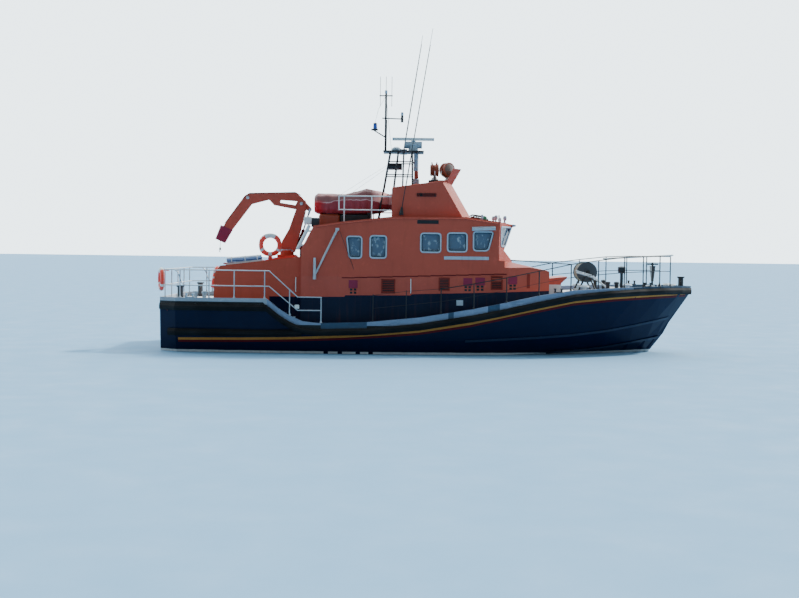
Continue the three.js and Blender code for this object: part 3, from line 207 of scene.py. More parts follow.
FADED = (1.6, 1.5, 1.45, 1)  # what a faded fleck does to the paint's red, green and blue
CLOUD_GREY = 0xb9b2a6
SALT_GREY = 0x7f8f92


def finish(name, colour, rough=0.5, metal=0.0, mottle=0.12, streaks=0.0, dirt=0x4a4032, grain=220, bump=0.08,
           gloss=0.5, coat=0.0, scuffs=0.0, scuff_colour=0x202224, zones=None):
    """A mottled surface with streaks that run down, scuffs and a fine grain. zones paints over the colour."""
    s = Shader(name)
    base = linear(colour)
    if zones:
        base = zones(s, base)
    cloud = s.noise(0.9, 4)
    tint = s.mix(s.ramp(cloud, 0.35, 0.7, 0, mottle), base, s.mix(1.0, base, linear(CLOUD_GREY), "MULTIPLY"))
    fleck = s.noise(7, 5, shift=(3, 1, 2))
    tint = s.mix(s.ramp(fleck, 0.56, 0.74, 0, mottle * 1.4), tint, s.mix(1.0, tint, FADED, "MULTIPLY"))
    if streaks:
        run = s.noise(5, 4, (1.6, 1.6, 0.12), shift=(1, 0, 0))
        tint = s.mix(s.ramp(run, 0.52, 0.78, 0, streaks), tint, linear(dirt))
    if scuffs:
        rub = s.noise(2.1, 6, (1, 1, 3.2), 0.65, (5, 2, 0))
        tint = s.mix(s.ramp(rub, 0.58, 0.64, 0, scuffs), tint, linear(scuff_colour))
    fine = s.noise(grain, 2)
    patches = s.ramp(cloud, 0.3, 0.7, rough * 0.8, min(1, rough * 1.25))
    swell = s.node("ShaderNodeBump", {"Strength": bump * 0.6, "Distance": 0.02, "Height": s.noise(1.6, 2)})
    grit = {"Strength": bump, "Distance": 0.002, "Height": fine, "Normal": swell.outputs[0]}
    return s.finished({
        "Base Color": tint,
        "Roughness": s.math("ADD", patches, s.ramp(fine, 0, 1, -0.05, 0.05)),
        "Metallic": metal,
        "Specular IOR Level": gloss,
        "Coat Weight": coat,
        "Coat Roughness": 0.12,
        "Normal": s.node("ShaderNodeBump", grit).outputs[0],
    })


def tinted_glass(name, colour, painted_reflection):
    """Dark glass with patches of painted reflection of the sky and the sea."""
    s = Shader(name)
    salt = s.noise(3, 5, (1, 1, 0.5))
    patches = s.ramp(s.noise(7, 4, (1.4, 1, 0.9), shift=(2, 0, 1)), 0.56, 0.66, 0, 0.75)
    dull = s.mix(s.ramp(salt, 0.45, 0.75, 0, 0.3), linear(colour), linear(SALT_GREY))
    grit = {"Strength": 0.05, "Distance": 0.001, "Height": s.noise(90, 2)}
    return s.finished({
        # painted reflection: pale patches of sky colour mixed into the glass
        "Base Color": s.mix(patches, dull, linear(painted_reflection)),
        "Roughness": s.ramp(salt, 0.4, 0.8, 0.05, 0.3),
        "Transmission Weight": 0.15,
        "IOR": 1.45,
        "Normal": s.node("ShaderNodeBump", grit).outputs[0],
    })


# The colours of the hull, by height: dark under the water, a white line on it, navy above
BOOT_TOP_Z = 0.07
BOOT_BREAKS = [(-3.42, -3.28), (-2.98, -2.84), (-2.42, -2.28), (-2.02, -1.88)]
ANTIFOULING = 0x16171b
BOOT_WHITE = 0xd4d8d8


def hull_zones(s, navy):
    wavering = s.math("ADD", s.z, s.ramp(s.noise(2.5, 3), 0, 1, -0.008, 0.008))
    white = s.mix(s.within(s.x, BOOT_BREAKS), linear(BOOT_WHITE), navy)
    low = s.mix(s.above(wavering, 0.0), linear(ANTIFOULING), white)
    return s.mix(s.above(wavering, BOOT_TOP_Z), low, navy)


# The deckhouse is navy below this line and orange above it
HOUSE_NAVY = 0x07122e
HOUSE_LINE = [
    (-4.3, 1.74), (-2.82, 1.76), (-2.78, 1.81), (-0.72, 1.83), (-0.68, 1.87), (1.2, 1.93), (3.8, 2.02),
]


def house_zones(s, orange):
    return s.mix(s.above(s.z, s.line(s.x, HOUSE_LINE)), linear(HOUSE_NAVY), orange)


# The casing's fore end, beside the side deck, is navy below this height
CASING_NAVY_TOP = 1.74
CASING_NAVY_FROM = -5.2


def casing_zones(s, orange):
    navy = s.math("MULTIPLY", s.above(s.x, CASING_NAVY_FROM), s.above(CASING_NAVY_TOP, s.z))
    return s.mix(navy, orange, linear(HOUSE_NAVY))


# The locker on the foredeck has a painted highlight round its foot: the white of the sunlit deck before it,
# painted on the locker
LOCKER_SUNLIT_DECK_TOP = 2.2
LOCKER_SUNLIT_DECK = 0xc9d0d2


def locker_zones(s, orange):
    return s.mix(s.above(s.z, LOCKER_SUNLIT_DECK_TOP), linear(LOCKER_SUNLIT_DECK), orange)


# The rolled net, from its sunlit top to its foot
NET_LINE = [(-6.6, 2.8625), (-5.5, 2.96)]
NET_SUNLIT = 0xe6edf8
NET_SHADE = 0x23407a
NET_FOOT = 0xb4c2da


def net_zones(s, blue):
    height = s.math("SUBTRACT", s.z, s.line(s.x, NET_LINE))
    folds = s.ramp(s.noise(9, 3, (1, 0.3, 0.3)), 0.3, 0.7, -0.012, 0.012)
    height = s.math("ADD", height, folds)
    low = s.mix(s.above(height, -0.05, 0.01), linear(NET_FOOT), linear(NET_SHADE))
    middle = s.mix(s.above(height, -0.02, 0.01), low, blue)
    return s.mix(s.above(height, 0.05, 0.012), middle, linear(NET_SUNLIT))


# The toe band carries painted shadows in short dark runs, and its stern length is paler as a painted
# highlight
TOE_BLUE = 0x7b8ea9
# painted highlight: the stern's length is paler, for its sunlit edge
TOE_STERN_LIT = 0x9ba6b2
TOE_SHADE = 0x2f4a63
TOE_RUBBED = 0x0d1012
TOE_STERN_LIT_TO = -5.18
TOE_FOOT_LINE = [(-8.7, 1.585), (-5.30, 1.585), (-5.0, 1.25), (-4.6, 0.9), (8.7, 0.9)]
# painted shadows: the runs along the band that are darkened
TOE_SHADE_RUNS = [(-3.5, -2.07), (0.45, 0.62), (1.68, 2.05), (6.4, 8.7)]


def toe_zones(s, blue):
    """The stern's length is a paler grey, a painted highlight of its sunlit edge, with a black rubbed foot.
    The dark runs are painted shadows.
    """
    blue = s.mix(s.above(s.x, TOE_STERN_LIT_TO), linear(TOE_STERN_LIT), blue)
    blue = s.mix(s.above(s.z, s.line(s.x, TOE_FOOT_LINE)), linear(TOE_RUBBED), blue)
    return s.mix(s.within(s.x, TOE_SHADE_RUNS), blue, linear(TOE_SHADE))


# The cover is faded above its shoulder and carries a painted sky sheen there, a painted highlight palest at
# the fore end, a painted highlight along the crease of the shoulder, and bright red aft
COVER_RED = 0x9c3c44
COVER_FADED_SHEEN = 0x8f5a58
COVER_PALE_HIGHLIGHT = 0xe6a8a4
COVER_CREASE_HIGHLIGHT = 0xd3a9ac
COVER_BRIGHT = 0xc4161d
COVER_SHOULDER = [
    (-4.0, 4.77), (-3.4, 4.76), (-3.19, 4.84), (-2.9, 4.88),
    (-2.2, 4.87), (-1.9, 4.85), (-1.6, 4.74), (-1.3, 4.75),
]
COVER_PALE_HIGHLIGHT_FROM = -1.96
COVER_BRIGHT_TO = -3.62


def cover_zones(s, red):
    shoulder = s.line(s.x, COVER_SHOULDER)
    wander = s.ramp(s.noise(4, 3), 0.3, 0.7, -0.03, 0.03)
    height = s.math("ADD", s.math("SUBTRACT", s.z, shoulder), wander)
    # partly faded cloth and partly painted sheen and highlight on the cover's top, palest forward
    upper = s.mix(s.above(s.x, COVER_PALE_HIGHLIGHT_FROM, 0.08), linear(COVER_FADED_SHEEN), linear(COVER_PALE_HIGHLIGHT))
    tint = s.mix(s.above(height, 0.0, 0.03), red, upper)
    # painted highlight along the crease of the shoulder
    crease = s.math("MULTIPLY", s.above(height, -0.012), s.below(height, 0.016))
    tint = s.mix(s.math("MULTIPLY", crease, 0.8), tint, linear(COVER_CREASE_HIGHLIGHT))
    aft = s.below(s.math("ADD", s.x, wander), COVER_BRIGHT_TO, 0.10)
    low = s.below(height, 0.03, 0.05)
    return s.mix(s.math("MULTIPLY", aft, low), tint, linear(COVER_BRIGHT))


HULL_NAVY = 0x030d2e
ORANGE = 0xba5443
ORANGE_WEAR = dict(colour=ORANGE, rough=0.45, mottle=0.14, streaks=0.16, dirt=0x6a3a26)
LOOKS = {
    "hull_paint": dict(
        colour=HULL_NAVY, rough=0.34, mottle=0.25, streaks=0.2, dirt=0x0f1a28, gloss=0.12, zones=hull_zones
    ),
    "house_paint": dict(ORANGE_WEAR, gloss=0.18),
    "deckhouse_paint": dict(ORANGE_WEAR, gloss=0.18, zones=house_zones),
    "casing_paint": dict(ORANGE_WEAR, rough=0.6, streaks=0.2, gloss=0.05, zones=casing_zones),
    "locker_paint": dict(ORANGE_WEAR, gloss=0.3, zones=locker_zones),
    "toe_paint": dict(
        colour=TOE_BLUE, mottle=0.3, streaks=0.1, gloss=0.35, scuffs=0.2, scuff_colour=0x1a2433,
        zones=toe_zones,
    ),
    "band_paint": dict(colour=0xa9bccb, mottle=0.2, streaks=0.2, dirt=0x5c5a50),
    # painted highlight: the spray rails are a lighter navy than the hull, for their lit edges
    "spray_paint": dict(colour=0x17243f, rough=0.45, mottle=0.25, streaks=0.2, gloss=0.25),
    "deck_paint": dict(
        colour=0xdde3e6, rough=0.85, mottle=0.25, scuffs=0.25, scuff_colour=0x6d7170, grain=400, bump=0.5
    ),
    "white_paint": dict(colour=0xdfe3e2, rough=0.45, mottle=0.15, streaks=0.2),
    "rubber": dict(
        colour=0x0b0d10, rough=0.8, mottle=0.35, gloss=0.3, scuffs=0.3, scuff_colour=0x1b1f24, bump=0.3
    ),
    "dark_trim": dict(colour=0x24272a, rough=0.6, mottle=0.2, bump=0.25, grain=500),
    "dark_metal": dict(colour=0x1a1c20, mottle=0.25, streaks=0.2, dirt=0x5a3a24),
    "rail_metal": dict(colour=0xb5bdc4, rough=0.4, metal=0.55, mottle=0.2, streaks=0.2, dirt=0x6c5a48),
    "bronze": dict(colour=0x7d6234, rough=0.45, metal=0.85, mottle=0.4, streaks=0.2, dirt=0x2f4a3a),
    "lamp_paint": dict(colour=0x9a4428, mottle=0.2, streaks=0.15),
    "cover_fabric": dict(
        colour=COVER_RED, rough=0.6, mottle=0.3, streaks=0.2, dirt=0x4a1216, grain=900, bump=0.4, gloss=0.3,
        zones=cover_zones,
    ),
    "buoy_plastic": dict(colour=0xfa4632, rough=0.4, mottle=0.2, streaks=0.12, dirt=0x5a2a1a),
    "gold_paint": dict(colour=0xbd7d3a, mottle=0.2, streaks=0.2, gloss=0.1),
    "maroon_paint": dict(colour=0x5c1018, mottle=0.15, streaks=0.15, gloss=0.1),
    "panel_paint": dict(colour=0x8e2844, mottle=0.15, streaks=0.2, gloss=0.2),
    "louvre_dark": dict(colour=0x14161a, rough=0.7, mottle=0.2),
    "reel_paint": dict(colour=0x3c434a, mottle=0.3, streaks=0.3, dirt=0x4a3a2c),
    "net_cloth": dict(
        colour=0x8fa9d0, rough=0.8, mottle=0.2, grain=700, bump=0.6, gloss=0.2, zones=net_zones
    ),
    "bundle_blue": dict(colour=0x4a7ab8, rough=0.7, mottle=0.3, streaks=0.2, grain=500, bump=0.3),
    "rope_fibre": dict(colour=0x8f998c, rough=0.9, mottle=0.4, grain=700, bump=0.8, streaks=0.2),
    "blue_lens": dict(colour=0x1f4fae, rough=0.2, mottle=0.1, coat=0.6),
    "green_lens": dict(colour=0x1c7a4a, rough=0.2, mottle=0.1, coat=0.6),
    "lamp_glass": dict(colour=0xc9d2d6, rough=0.12, mottle=0.15, coat=0.8),
    # painted shade: the searchlight lenses are the dull grey-brown that a lens shows in shade
    "lamp_lens": dict(colour=0x7a6a62, rough=0.2, mottle=0.3, streaks=0.2, coat=0.3),
    "red_paint": dict(colour=0xc02a1e, mottle=0.2, streaks=0.1),
    "vent_red": dict(colour=0x8a2a1a, rough=0.6, mottle=0.2, streaks=0.2, gloss=0.3),
    "seat_cloth": dict(colour=0x2b3038, rough=0.85, mottle=0.2, grain=900, bump=0.5),
}
MATERIALS = {name: finish(name, **look) for name, look in LOOKS.items()}
MATERIALS["glass"] = tinted_glass("glass", 0x5d7388, 0xb4c6d0)

record = frame["record"]
SLOT_OF = {row["node"]: row["material_slot"] for row in record["subparts"]}
OWN_PAINT = {
    "deckhouse": "deckhouse_paint",
    "aft_casing": "casing_paint",
    "foredeck_locker": "locker_paint",
    "gunwale": "toe_paint",
    "rolled_net": "net_cloth",
    "bollard_quarter_port": "reel_paint",
    "bollard_quarter_starboard": "reel_paint",
}
for name, node in NODES.items():
    node.data.materials.clear()
    node.data.materials.append(MATERIALS[OWN_PAINT.get(name, SLOT_OF[name])])


# Mesh making

UP = (0, 0, 1)
FORWARD = (1, 0, 0)
SIDES = (1, -1)


class Shape:
    """Vertices and faces gathered from several parts of one piece."""

    def __init__(self):
        self.points = []
        self.faces = []

    def put(self, points, faces):
        first = len(self.points)
        self.points += [tuple(p) for p in points]
        self.faces += [tuple(first + k for k in face) for face in faces]

    def skin(self, loops, closed=True, caps=True):
        """Quads between loops of equal count, with a cap on the first and the last."""
        count = len(loops[0])
        faces = []
        for i in range(len(loops) - 1):
            for j in range(count if closed else count - 1):
                k = (j + 1) % count
                faces.append((i * count + j, i * count + k, (i + 1) * count + k, (i + 1) * count + j))
        if caps:
            last = (len(loops) - 1) * count
            faces += [tuple(reversed(range(count))), tuple(range(last, last + count))]
        self.put([p for loop in loops for p in loop], faces)

    def hoop(self, loops):
        """Quads between loops of equal count, the last joined to the first."""
        self.skin(loops + [loops[0]], caps=False)

    def slab(self, low, high, soft=0.008):
        """A block with its edges taken off."""
        low, high = Vector(low), Vector(high)
        soft = min(soft, *(0.45 * abs(b - a) for a, b in zip(low, high)))
        made = bmesh.new()
        for signs in [(i, j, k) for i in (0, 1) for j in (0, 1) for k in (0, 1)]:
            for axis in range(3):
                spot = []
                for n, sign in enumerate(signs):
                    edge, inward = (high[n], -soft) if sign else (low[n], soft)
                    spot.append(edge if n == axis else edge + inward)
                made.verts.new(spot)
        bmesh.ops.convex_hull(made, input=made.verts)
        bmesh.ops.dissolve_limit(made, angle_limit=0.01, verts=made.verts, edges=made.edges)
        made.verts.index_update()
        self.put([v.co for v in made.verts], [[v.index for v in f.verts] for f in made.faces])
        made.free()

    def tube(self, points, radius, sides=8):
        """A bent round bar through the points. radius is one number, or one for each point."""
        points = [Vector(p) for p in points]
        radii = radius if hasattr(radius, "__len__") else [radius] * len(points)
        ways = [(b - a).normalized() for a, b in zip(points, points[1:])]
        across = ways[0].orthogonal().normalized()
        loops = []
        for k, (spot, size) in enumerate(zip(points, radii)):
            before, after = ways[max(k - 1, 0)], ways[min(k, len(ways) - 1)]
            way = (before + after).normalized()
            across = (across - across.dot(way) * way).normalized()
            other = way.cross(across)
            turns = [2 * math.pi * n / sides for n in range(sides)]
            loops.append([spot + size * (math.cos(t) * across + math.sin(t) * other) for t in turns])
        self.skin(loops)

    def turned(self, profile, centre, axis, sides=24):
        """A profile of (radius, distance along the axis), turned about the axis."""
        centre, axis = Vector(centre), Vector(axis).normalized()
        across = axis.orthogonal().normalized()
        other = axis.cross(across)
        turns = [2 * math.pi * n / sides for n in range(sides)]
        spokes = [math.cos(t) * across + math.sin(t) * other for t in turns]
        loops = []
        for radius, distance in profile:
            middle = centre + distance * axis
            loops.append([middle + max(radius, 1e-4) * spoke for spoke in spokes])
        self.skin(loops)

    def mirror(self):
        """Adds what is there so far again, across the centreline. make() turns its faces outwards."""
        self.put([(x, -y, z) for x, y, z in self.points], self.faces)

    def make(self, name, material, body="hull", smooth=None, slot=None):
        mesh = bpy.data.meshes.new(name)
        mesh.from_pydata([tuple(p) for p in self.points], [], self.faces)
        mesh.materials.append(MATERIALS[material])
        tidy = bmesh.new()
        tidy.from_mesh(mesh)
        bmesh.ops.recalc_face_normals(tidy, faces=tidy.faces)
        tidy.to_mesh(mesh)
        tidy.free()
        piece = bpy.data.objects.new(name, mesh)
        bpy.context.scene.collection.objects.link(piece)
        if smooth:
            mesh.shade_smooth()
            mesh.set_sharp_from_angle(angle=math.radians(smooth))
        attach(piece, body)
        return piece


def piece(material, body="hull", smooth=None, slot=None):
    """Has the function below it draw on an empty shape, and makes from that the piece of the same name."""
    def make(draw):
        shape = Shape()
        draw(shape)
        return shape.make(draw.__name__, material, body, smooth, slot)
    return make


def tree_of(name):
    data = NODES[name].data
    return BVHTree.FromPolygons([v.co for v in data.vertices], [tuple(p.vertices) for p in data.polygons])


TREES = {name: tree_of(name) for name in ("hull", "deckhouse")}
RAY_FROM_Y = 6


def skin_y(name, x, z):
    """The distance from the centreline to a node's port skin at a place along the boat and a height."""
    hit = TREES[name].ray_cast(Vector((x, RAY_FROM_Y, z)), Vector((0, -1, 0)))[0]
    return hit.y if hit else None


def height_on(line, x):
    """The height, or other second number, of a broken line at a place along it."""
    return float(np.interp(x, *zip(*line)))


def across_plate(shape, outline, half):
    """A plate of an (x, z) outline, as thick on each side of the centreline."""
    shape.skin([[(x, y, z) for x, z in outline] for y in (-half, half)])


def rounded(corners, radius, steps=4):
    """The corners joined in a loop, each rounded off."""
    loop = []
    for k, corner in enumerate(corners):
        here = Vector(corner)
        back = (Vector(corners[k - 1]) - here).normalized()
        on = (Vector(corners[(k + 1) % len(corners)]) - here).normalized()
        for n in range(steps + 1):
            t = n / steps
            loop.append(here + (1 - t) ** 2 * radius * back + t * t * radius * on)
    return loop


def grown(loop, by):
    """A flat loop moved outwards by a distance."""
    centre = sum(loop, Vector((0, 0))) / len(loop)
    made = []
    for k, here in enumerate(loop):
        along = (loop[(k + 1) % len(loop)] - loop[k - 1]).normalized()
        out = Vector((along.y, -along.x))
        if out.dot(here - centre) < 0:
            out = -out
        made.append(here + by * out)
    return made


# Stripes and spray rails on the hull, from the stern forwards

GOLD_LINE = [
    (-7.97, 0.41), (-6.0, 0.44), (-4.4, 0.48), (-2.85, 0.55), (-1.6, 0.64), (-0.45, 0.74), (1.1, 0.99),
    (3.0, 1.41), (4.4, 1.70), (5.8, 1.83), (7.2, 1.90), (8.4, 1.95),
]
GOLD_HEIGHT = 0.075
MAROON_HEIGHT = 0.07
STRIPE_PROUD = 0.004
SPRAY_RAILS = [
    # how proud, and the line
    (0.035, [(1.0, 0.44), (3.28, 0.56), (4.44, 0.64), (5.56, 0.76), (6.5, 0.9), (7.26, 1.03), (7.85, 1.13)]),
    (0.06, [(3.6, 0.06), (4.44, 0.11), (5.56, 0.21), (6.45, 0.33), (7.1, 0.42), (7.55, 0.48)]),
]
SPRAY_HEIGHT = 0.07
STRIPE_STEP = 0.2


def along_line(line):
    """Places at even steps along a broken line of (x, z)."""
    xs, zs = zip(*line)
    count = max(2, round((xs[-1] - xs[0]) / STRIPE_STEP))
    return [(x, float(np.interp(x, xs, zs))) for x in np.linspace(xs[0], xs[-1], count)]


def hull_strip(shape, line, height, proud, sink=0.02):
    """A strip that follows the hull's port side: flat, or a rail where it stands proud."""
    loops = []
    for x, z in along_line(line):
        low, high = (skin_y("hull", x, z + s * height / 2) for s in (-1, 1))
        if low is None or high is None:
            continue
        corners = [(low - sink, -1), (low + proud, -1), (high + proud, 1), (high - sink, 1)]
        loops.append([(x, y, z + s * height / 2) for y, s in corners])
    shape.skin(loops)


@piece("gold_paint")
def gold_stripes(shape):
    hull_strip(shape, GOLD_LINE, GOLD_HEIGHT, STRIPE_PROUD)
    shape.mirror()


@piece("maroon_paint")
def maroon_stripes(shape):
    below_gold = [(x, z - (GOLD_HEIGHT + MAROON_HEIGHT) / 2) for x, z in GOLD_LINE]
    hull_strip(shape, below_gold, MAROON_HEIGHT, STRIPE_PROUD)
    shape.mirror()


# painted highlight: lighter navy for the lit rails
@piece("spray_paint", slot="hull_paint")
def spray_rails(shape):
    for proud, line in SPRAY_RAILS:
        hull_strip(shape, line, SPRAY_HEIGHT, proud, 0.04)
    shape.mirror()


# The ends of the stripes on the quarters: aft and fore place, and the height of the foot at each

QUARTER_ENDS = [(-8.60, 2.243), (-8.32, 2.432)]
QUARTER_FALL = (0.06, -0.08)


def quarter_stripe(shape, low):
    loops = []
    for (x, y), fall in zip(QUARTER_ENDS, QUARTER_FALL):
        near, far, z = y - 0.02, y + 0.006, low + fall
        loops.append([(x, near, z), (x, far, z), (x, far, z + 0.06), (x, near, z + 0.06)])
    shape.skin(loops)
    shape.mirror()


@piece("gold_paint")
def quarter_gold(shape):
    quarter_stripe(shape, 1.42)


@piece("maroon_paint")
def quarter_maroon(shape):
    quarter_stripe(shape, 1.35)


# Windows: a light frame round each opening

WINDOWS = [
    # aft x, fore x, low z, high z, how far the lower aft and lower fore corners are cut in
    (-2.79, -2.27, 2.97, 3.69, 0.09, 0.0),
    (-2.04, -1.49, 2.98, 3.72, 0.0, 0.0),
    (-0.44, 0.23, 3.18, 3.82, 0.0, 0.0),
    (0.41, 1.06, 3.21, 3.84, 0.0, 0.0),
    (1.23, 1.90, 3.25, 3.89, 0.0, 0.17),
]
WINDOW_ROUND = 0.12
FRAME_WIDTH = 0.048
FRAME_PROUD = 0.022


def wall_y(z):
    """Half breadth of the wheelhouse wall at a height."""
    return 1.99 - (z - 2.7) * 0.21 / 1.7


def frame_loops(outline, width, proud, place):
    """Five loops of a frame round an opening, from its inner edge over its face to its outer edge."""
    middle, outer = grown(outline, width * 0.5), grown(outline, width)
    rows = [(outline, -0.03), (outline, proud * 0.8), (middle, proud), (outer, proud * 0.7), (outer, -0.012)]
    return [[place(p, out) for p in loop] for loop, out in rows]


def on_wall(p, out):
    """The place on the port wall of a point (x, z), moved out from it."""
    return (p.x, wall_y(p.y) + out, p.y)


def window_rims(shape, inset, width, proud):
    for aft, fore, low, high, cut_aft, cut_fore in WINDOWS:
        corners = [(aft + cut_aft, low), (fore - cut_fore, low), (fore, high), (aft, high)]
        shape.hoop(frame_loops(grown(rounded(corners, WINDOW_ROUND), -inset), width, proud, on_wall))
    shape.mirror()


@piece("band_paint", smooth=40)
def side_window_frames(shape):
    window_rims(shape, 0.045, FRAME_WIDTH, FRAME_PROUD)


@piece("rubber")
def side_window_gaskets(shape):
    window_rims(shape, 0.062, 0.02, 0.006)


# Windscreen: panes in the raked front and in the slanted corners

FRONT_FOOT = (2.29, 3.40)  # x and z
FRONT_LEAN = 0.27 / 0.65
FRONT_PANE = [(0.06, 3.44), (0.64, 3.44), (0.64, 4.01), (0.06, 4.01)]  # y and z
CORNER_FROM = Vector((2.06, 1.88))  # where the slanted corner leaves the side
CORNER_TO = Vector((2.70, 0.70))
CORNER_PANE = [(0.17, 3.44), (0.46, 3.44), (0.92, 4.01), (0.17, 4.01)]  # along the slant from aft, and z
SCREEN_FRAME = 0.05
WIPER_ARM = [(0.30, 4.09), (0.33, 3.98), (0.46, 3.62)]  # y and z
WIPER_BLADE = [(0.40, 3.84), (0.51, 3.46)]


def front_x(z):
    return FRONT_FOOT[0] + (z - FRONT_FOOT[1]) * FRONT_LEAN


def on_front(p, out):
    return (front_x(p.y) + out, p.x, p.y)


def on_corner(p, out):
    slant = (CORNER_TO - CORNER_FROM).normalized()
    spot = CORNER_FROM + p.x * slant + out * Vector((-slant.y, slant.x))
    return (spot.x, spot.y, p.y)


@piece("band_paint", smooth=40)
def windscreen_frames(shape):
    shape.hoop(frame_loops(grown(rounded(FRONT_PANE, 0.08), -0.03), SCREEN_FRAME, FRAME_PROUD, on_front))
    shape.hoop(frame_loops(rounded(CORNER_PANE, 0.06), SCREEN_FRAME, FRAME_PROUD, on_corner))
    shape.mirror()


@piece("dark_metal")
def windscreen_wipers(shape):
    for side in SIDES:
        arm = [on_front(Vector((side * y, z)), 0.04) for y, z in WIPER_ARM]
        blade = [on_front(Vector((side * y, z)), 0.03) for y, z in WIPER_BLADE]
        shape.tube(arm, 0.009, 6)
        shape.tube(blade, 0.012, 5)
        shape.turned([(0.03, -0.02), (0.03, 0.03), (0.015, 0.045)], arm[0], FORWARD, 12)


SIDE_VISOR = [(1.20, 3.955), (1.94, 3.985)]  # x and z of its ends
SCREEN_VISOR_HALF = 1.25


@piece("band_paint")
def window_visors(shape):
    """The light visors over the foremost side windows and the windscreen."""
    loops = []
    for x, z in SIDE_VISOR:
        near, far = wall_y(z) - 0.01, wall_y(z) + 0.10
        loops.append([(x, near, z - 0.05), (x, far, z - 0.06), (x, far, z + 0.02), (x, near, z + 0.07)])
    shape.skin(loops)
    shape.mirror()
    top = front_x(4.07)
    edge = [(top - 0.02, 4.05), (top + 0.07, 4.06), (top + 0.08, 4.11), (top - 0.02, 4.13)]
    across_plate(shape, edge, SCREEN_VISOR_HALF)


# Window strip across the raked aft face of the wheelhouse, just under its roof

AFT_SLOPE_FOOT = Vector((-4.20, 3.25))  # x and z
AFT_SLOPE_HEAD = Vector((-3.82, 4.00))
AFT_WINDOW = [(-1.47, 3.67), (1.47, 3.67), (1.47, 3.875), (-1.47, 3.875)]  # y and z
AFT_WINDOW_ROUND = 0.05
AFT_MULLIONS = [-0.50, 0.50]
MULLION_HALF = 0.025


def on_aft_slope(p, out):
    slope = AFT_SLOPE_HEAD - AFT_SLOPE_FOOT
    outward = Vector((-slope.y, slope.x)).normalized()
    x = AFT_SLOPE_FOOT.x + (p.y - AFT_SLOPE_FOOT.y) * slope.x / slope.y
    return (x + out * outward.x, p.x, p.y + out * outward.y)


@piece("glass")
def aft_window_pane(shape):
    edge = grown(rounded(AFT_WINDOW, AFT_WINDOW_ROUND), 0.035)
    shape.skin([[on_aft_slope(p, out) for p in edge] for out in (-0.02, 0.006)])


@piece("band_paint", smooth=40)
def aft_window_frame(shape):
    shape.hoop(frame_loops(rounded(AFT_WINDOW, AFT_WINDOW_ROUND), 0.045, FRAME_PROUD, on_aft_slope))
    low, high = AFT_WINDOW[0][1] - 0.01, AFT_WINDOW[2][1] + 0.01
    for y in AFT_MULLIONS:
        left, right = y - MULLION_HALF, y + MULLION_HALF
        post = rounded([(left, low), (right, low), (right, high), (left, high)], 0.01, 2)
        shape.skin([[on_aft_slope(p, out) for p in post] for out in (0.0, FRAME_PROUD * 0.8)])


# Panels and vents on the deckhouse's sides: aft x, fore x, low z, high z

LOUVRES = [(-1.65, -1.21, 1.89, 2.34), (0.16, 0.51, 1.99, 2.41), (1.81, 2.18, 2.04, 2.48)]
HOLED_PANELS = [
    (-2.68, -2.40, 1.84, 2.29), (0.94, 1.22, 1.97, 2.40), (1.32, 1.62, 1.99, 2.42), (2.36, 2.65, 2.03, 2.47),
]
HOLES_SHARE = 0.44  # how much of a holed panel's height its holes take
SLOT_DOOR = (2.97, 3.07, 2.1, 2.55)
UPPER_VENT = (-0.54, 0.14, 4.10, 4.22)
NAME_PLATE = (0.32, 1.74, 2.98, 3.08)
SMALL_PLATE = (0.73, 0.94, 1.53, 1.70)
RED_LINE = [(-2.9, 2.36), (2.3, 2.55)]  # x and z of its ends
RED_LINE_STEPS = 14
VENT_EDGE = 0.035
VENT_SLATS = 7


def patch(shape, area, out):
    """A flat plate that follows the port wall between two heights."""
    aft, fore, low, high = area
    loops = []
    for z in (low, high):
        ys = [skin_y("deckhouse", x, z) for x in (aft, fore)]
        near = [(x, y - 0.03, z) for x, y in zip((aft, fore), ys)]
        far = [(x, y + out, z) for x, y in zip((aft, fore), ys)]
        loops.append([near[0], near[1], far[1], far[0]])
    shape.skin(loops)


@piece("vent_red")
def vent_frames(shape):
    """Framed vents with level slats, and the slot doors."""
    for aft, fore, low, high in LOUVRES:
        left, right, foot, head = aft + VENT_EDGE, fore - VENT_EDGE, low + VENT_EDGE, high - VENT_EDGE
        for bar in [(aft, fore, low, foot), (aft, fore, head, high)]:
            patch(shape, bar, 0.02)
        for post in [(aft, left, low, high), (right, fore, low, high)]:
            patch(shape, post, 0.02)
        pitch = (head - foot) / VENT_SLATS
        for k in range(VENT_SLATS):
            z = foot + (k + 0.3) * pitch
            patch(shape, (left, right, z, z + pitch * 0.4), 0.014)
    patch(shape, SLOT_DOOR, 0.008)
    shape.mirror()


# painted shade: dark sheets stand for the shade inside the vent openings and the holes in the panels
@piece("louvre_dark")
def vent_shade_sheets(shape):
    for aft, fore, low, high in LOUVRES:
        patch(shape, (aft + VENT_EDGE, fore - VENT_EDGE, low + VENT_EDGE, high - VENT_EDGE), 0.003)
    patch(shape, UPPER_VENT, 0.006)
    for aft, fore, low, high in HOLED_PANELS:
        wide, tall = fore - aft, HOLES_SHARE * (high - low)
        for column, row in [(0, 0), (0, 1), (1, 0), (1, 1)]:
            x = aft + (0.14 + 0.44 * column) * wide
            z = low + (0.10 + 0.5 * row) * tall
            patch(shape, (x, x + 0.28 * wide, z, z + 0.34 * tall), 0.006)
    shape.mirror()


@piece("panel_paint")
def maroon_panels(shape):
    for aft, fore, low, high in HOLED_PANELS:
        patch(shape, (aft, fore, low + HOLES_SHARE * (high - low), high), 0.012)
    shape.mirror()


@piece("band_paint")
def blank_plates(shape):
    patch(shape, NAME_PLATE, 0.012)
    patch(shape, SMALL_PLATE, 0.008)
    shape.mirror()


@piece("maroon_paint")
def red_lines(shape):
    (aft, low), (fore, high) = RED_LINE
    steps = np.linspace(aft, fore, RED_LINE_STEPS)
    for a, b in zip(steps, steps[1:]):
        z = low + (a - aft) / (fore - aft) * (high - low)
        patch(shape, (a, b + 0.001, z - 0.012, z + 0.016), 0.008)
    shape.mirror()


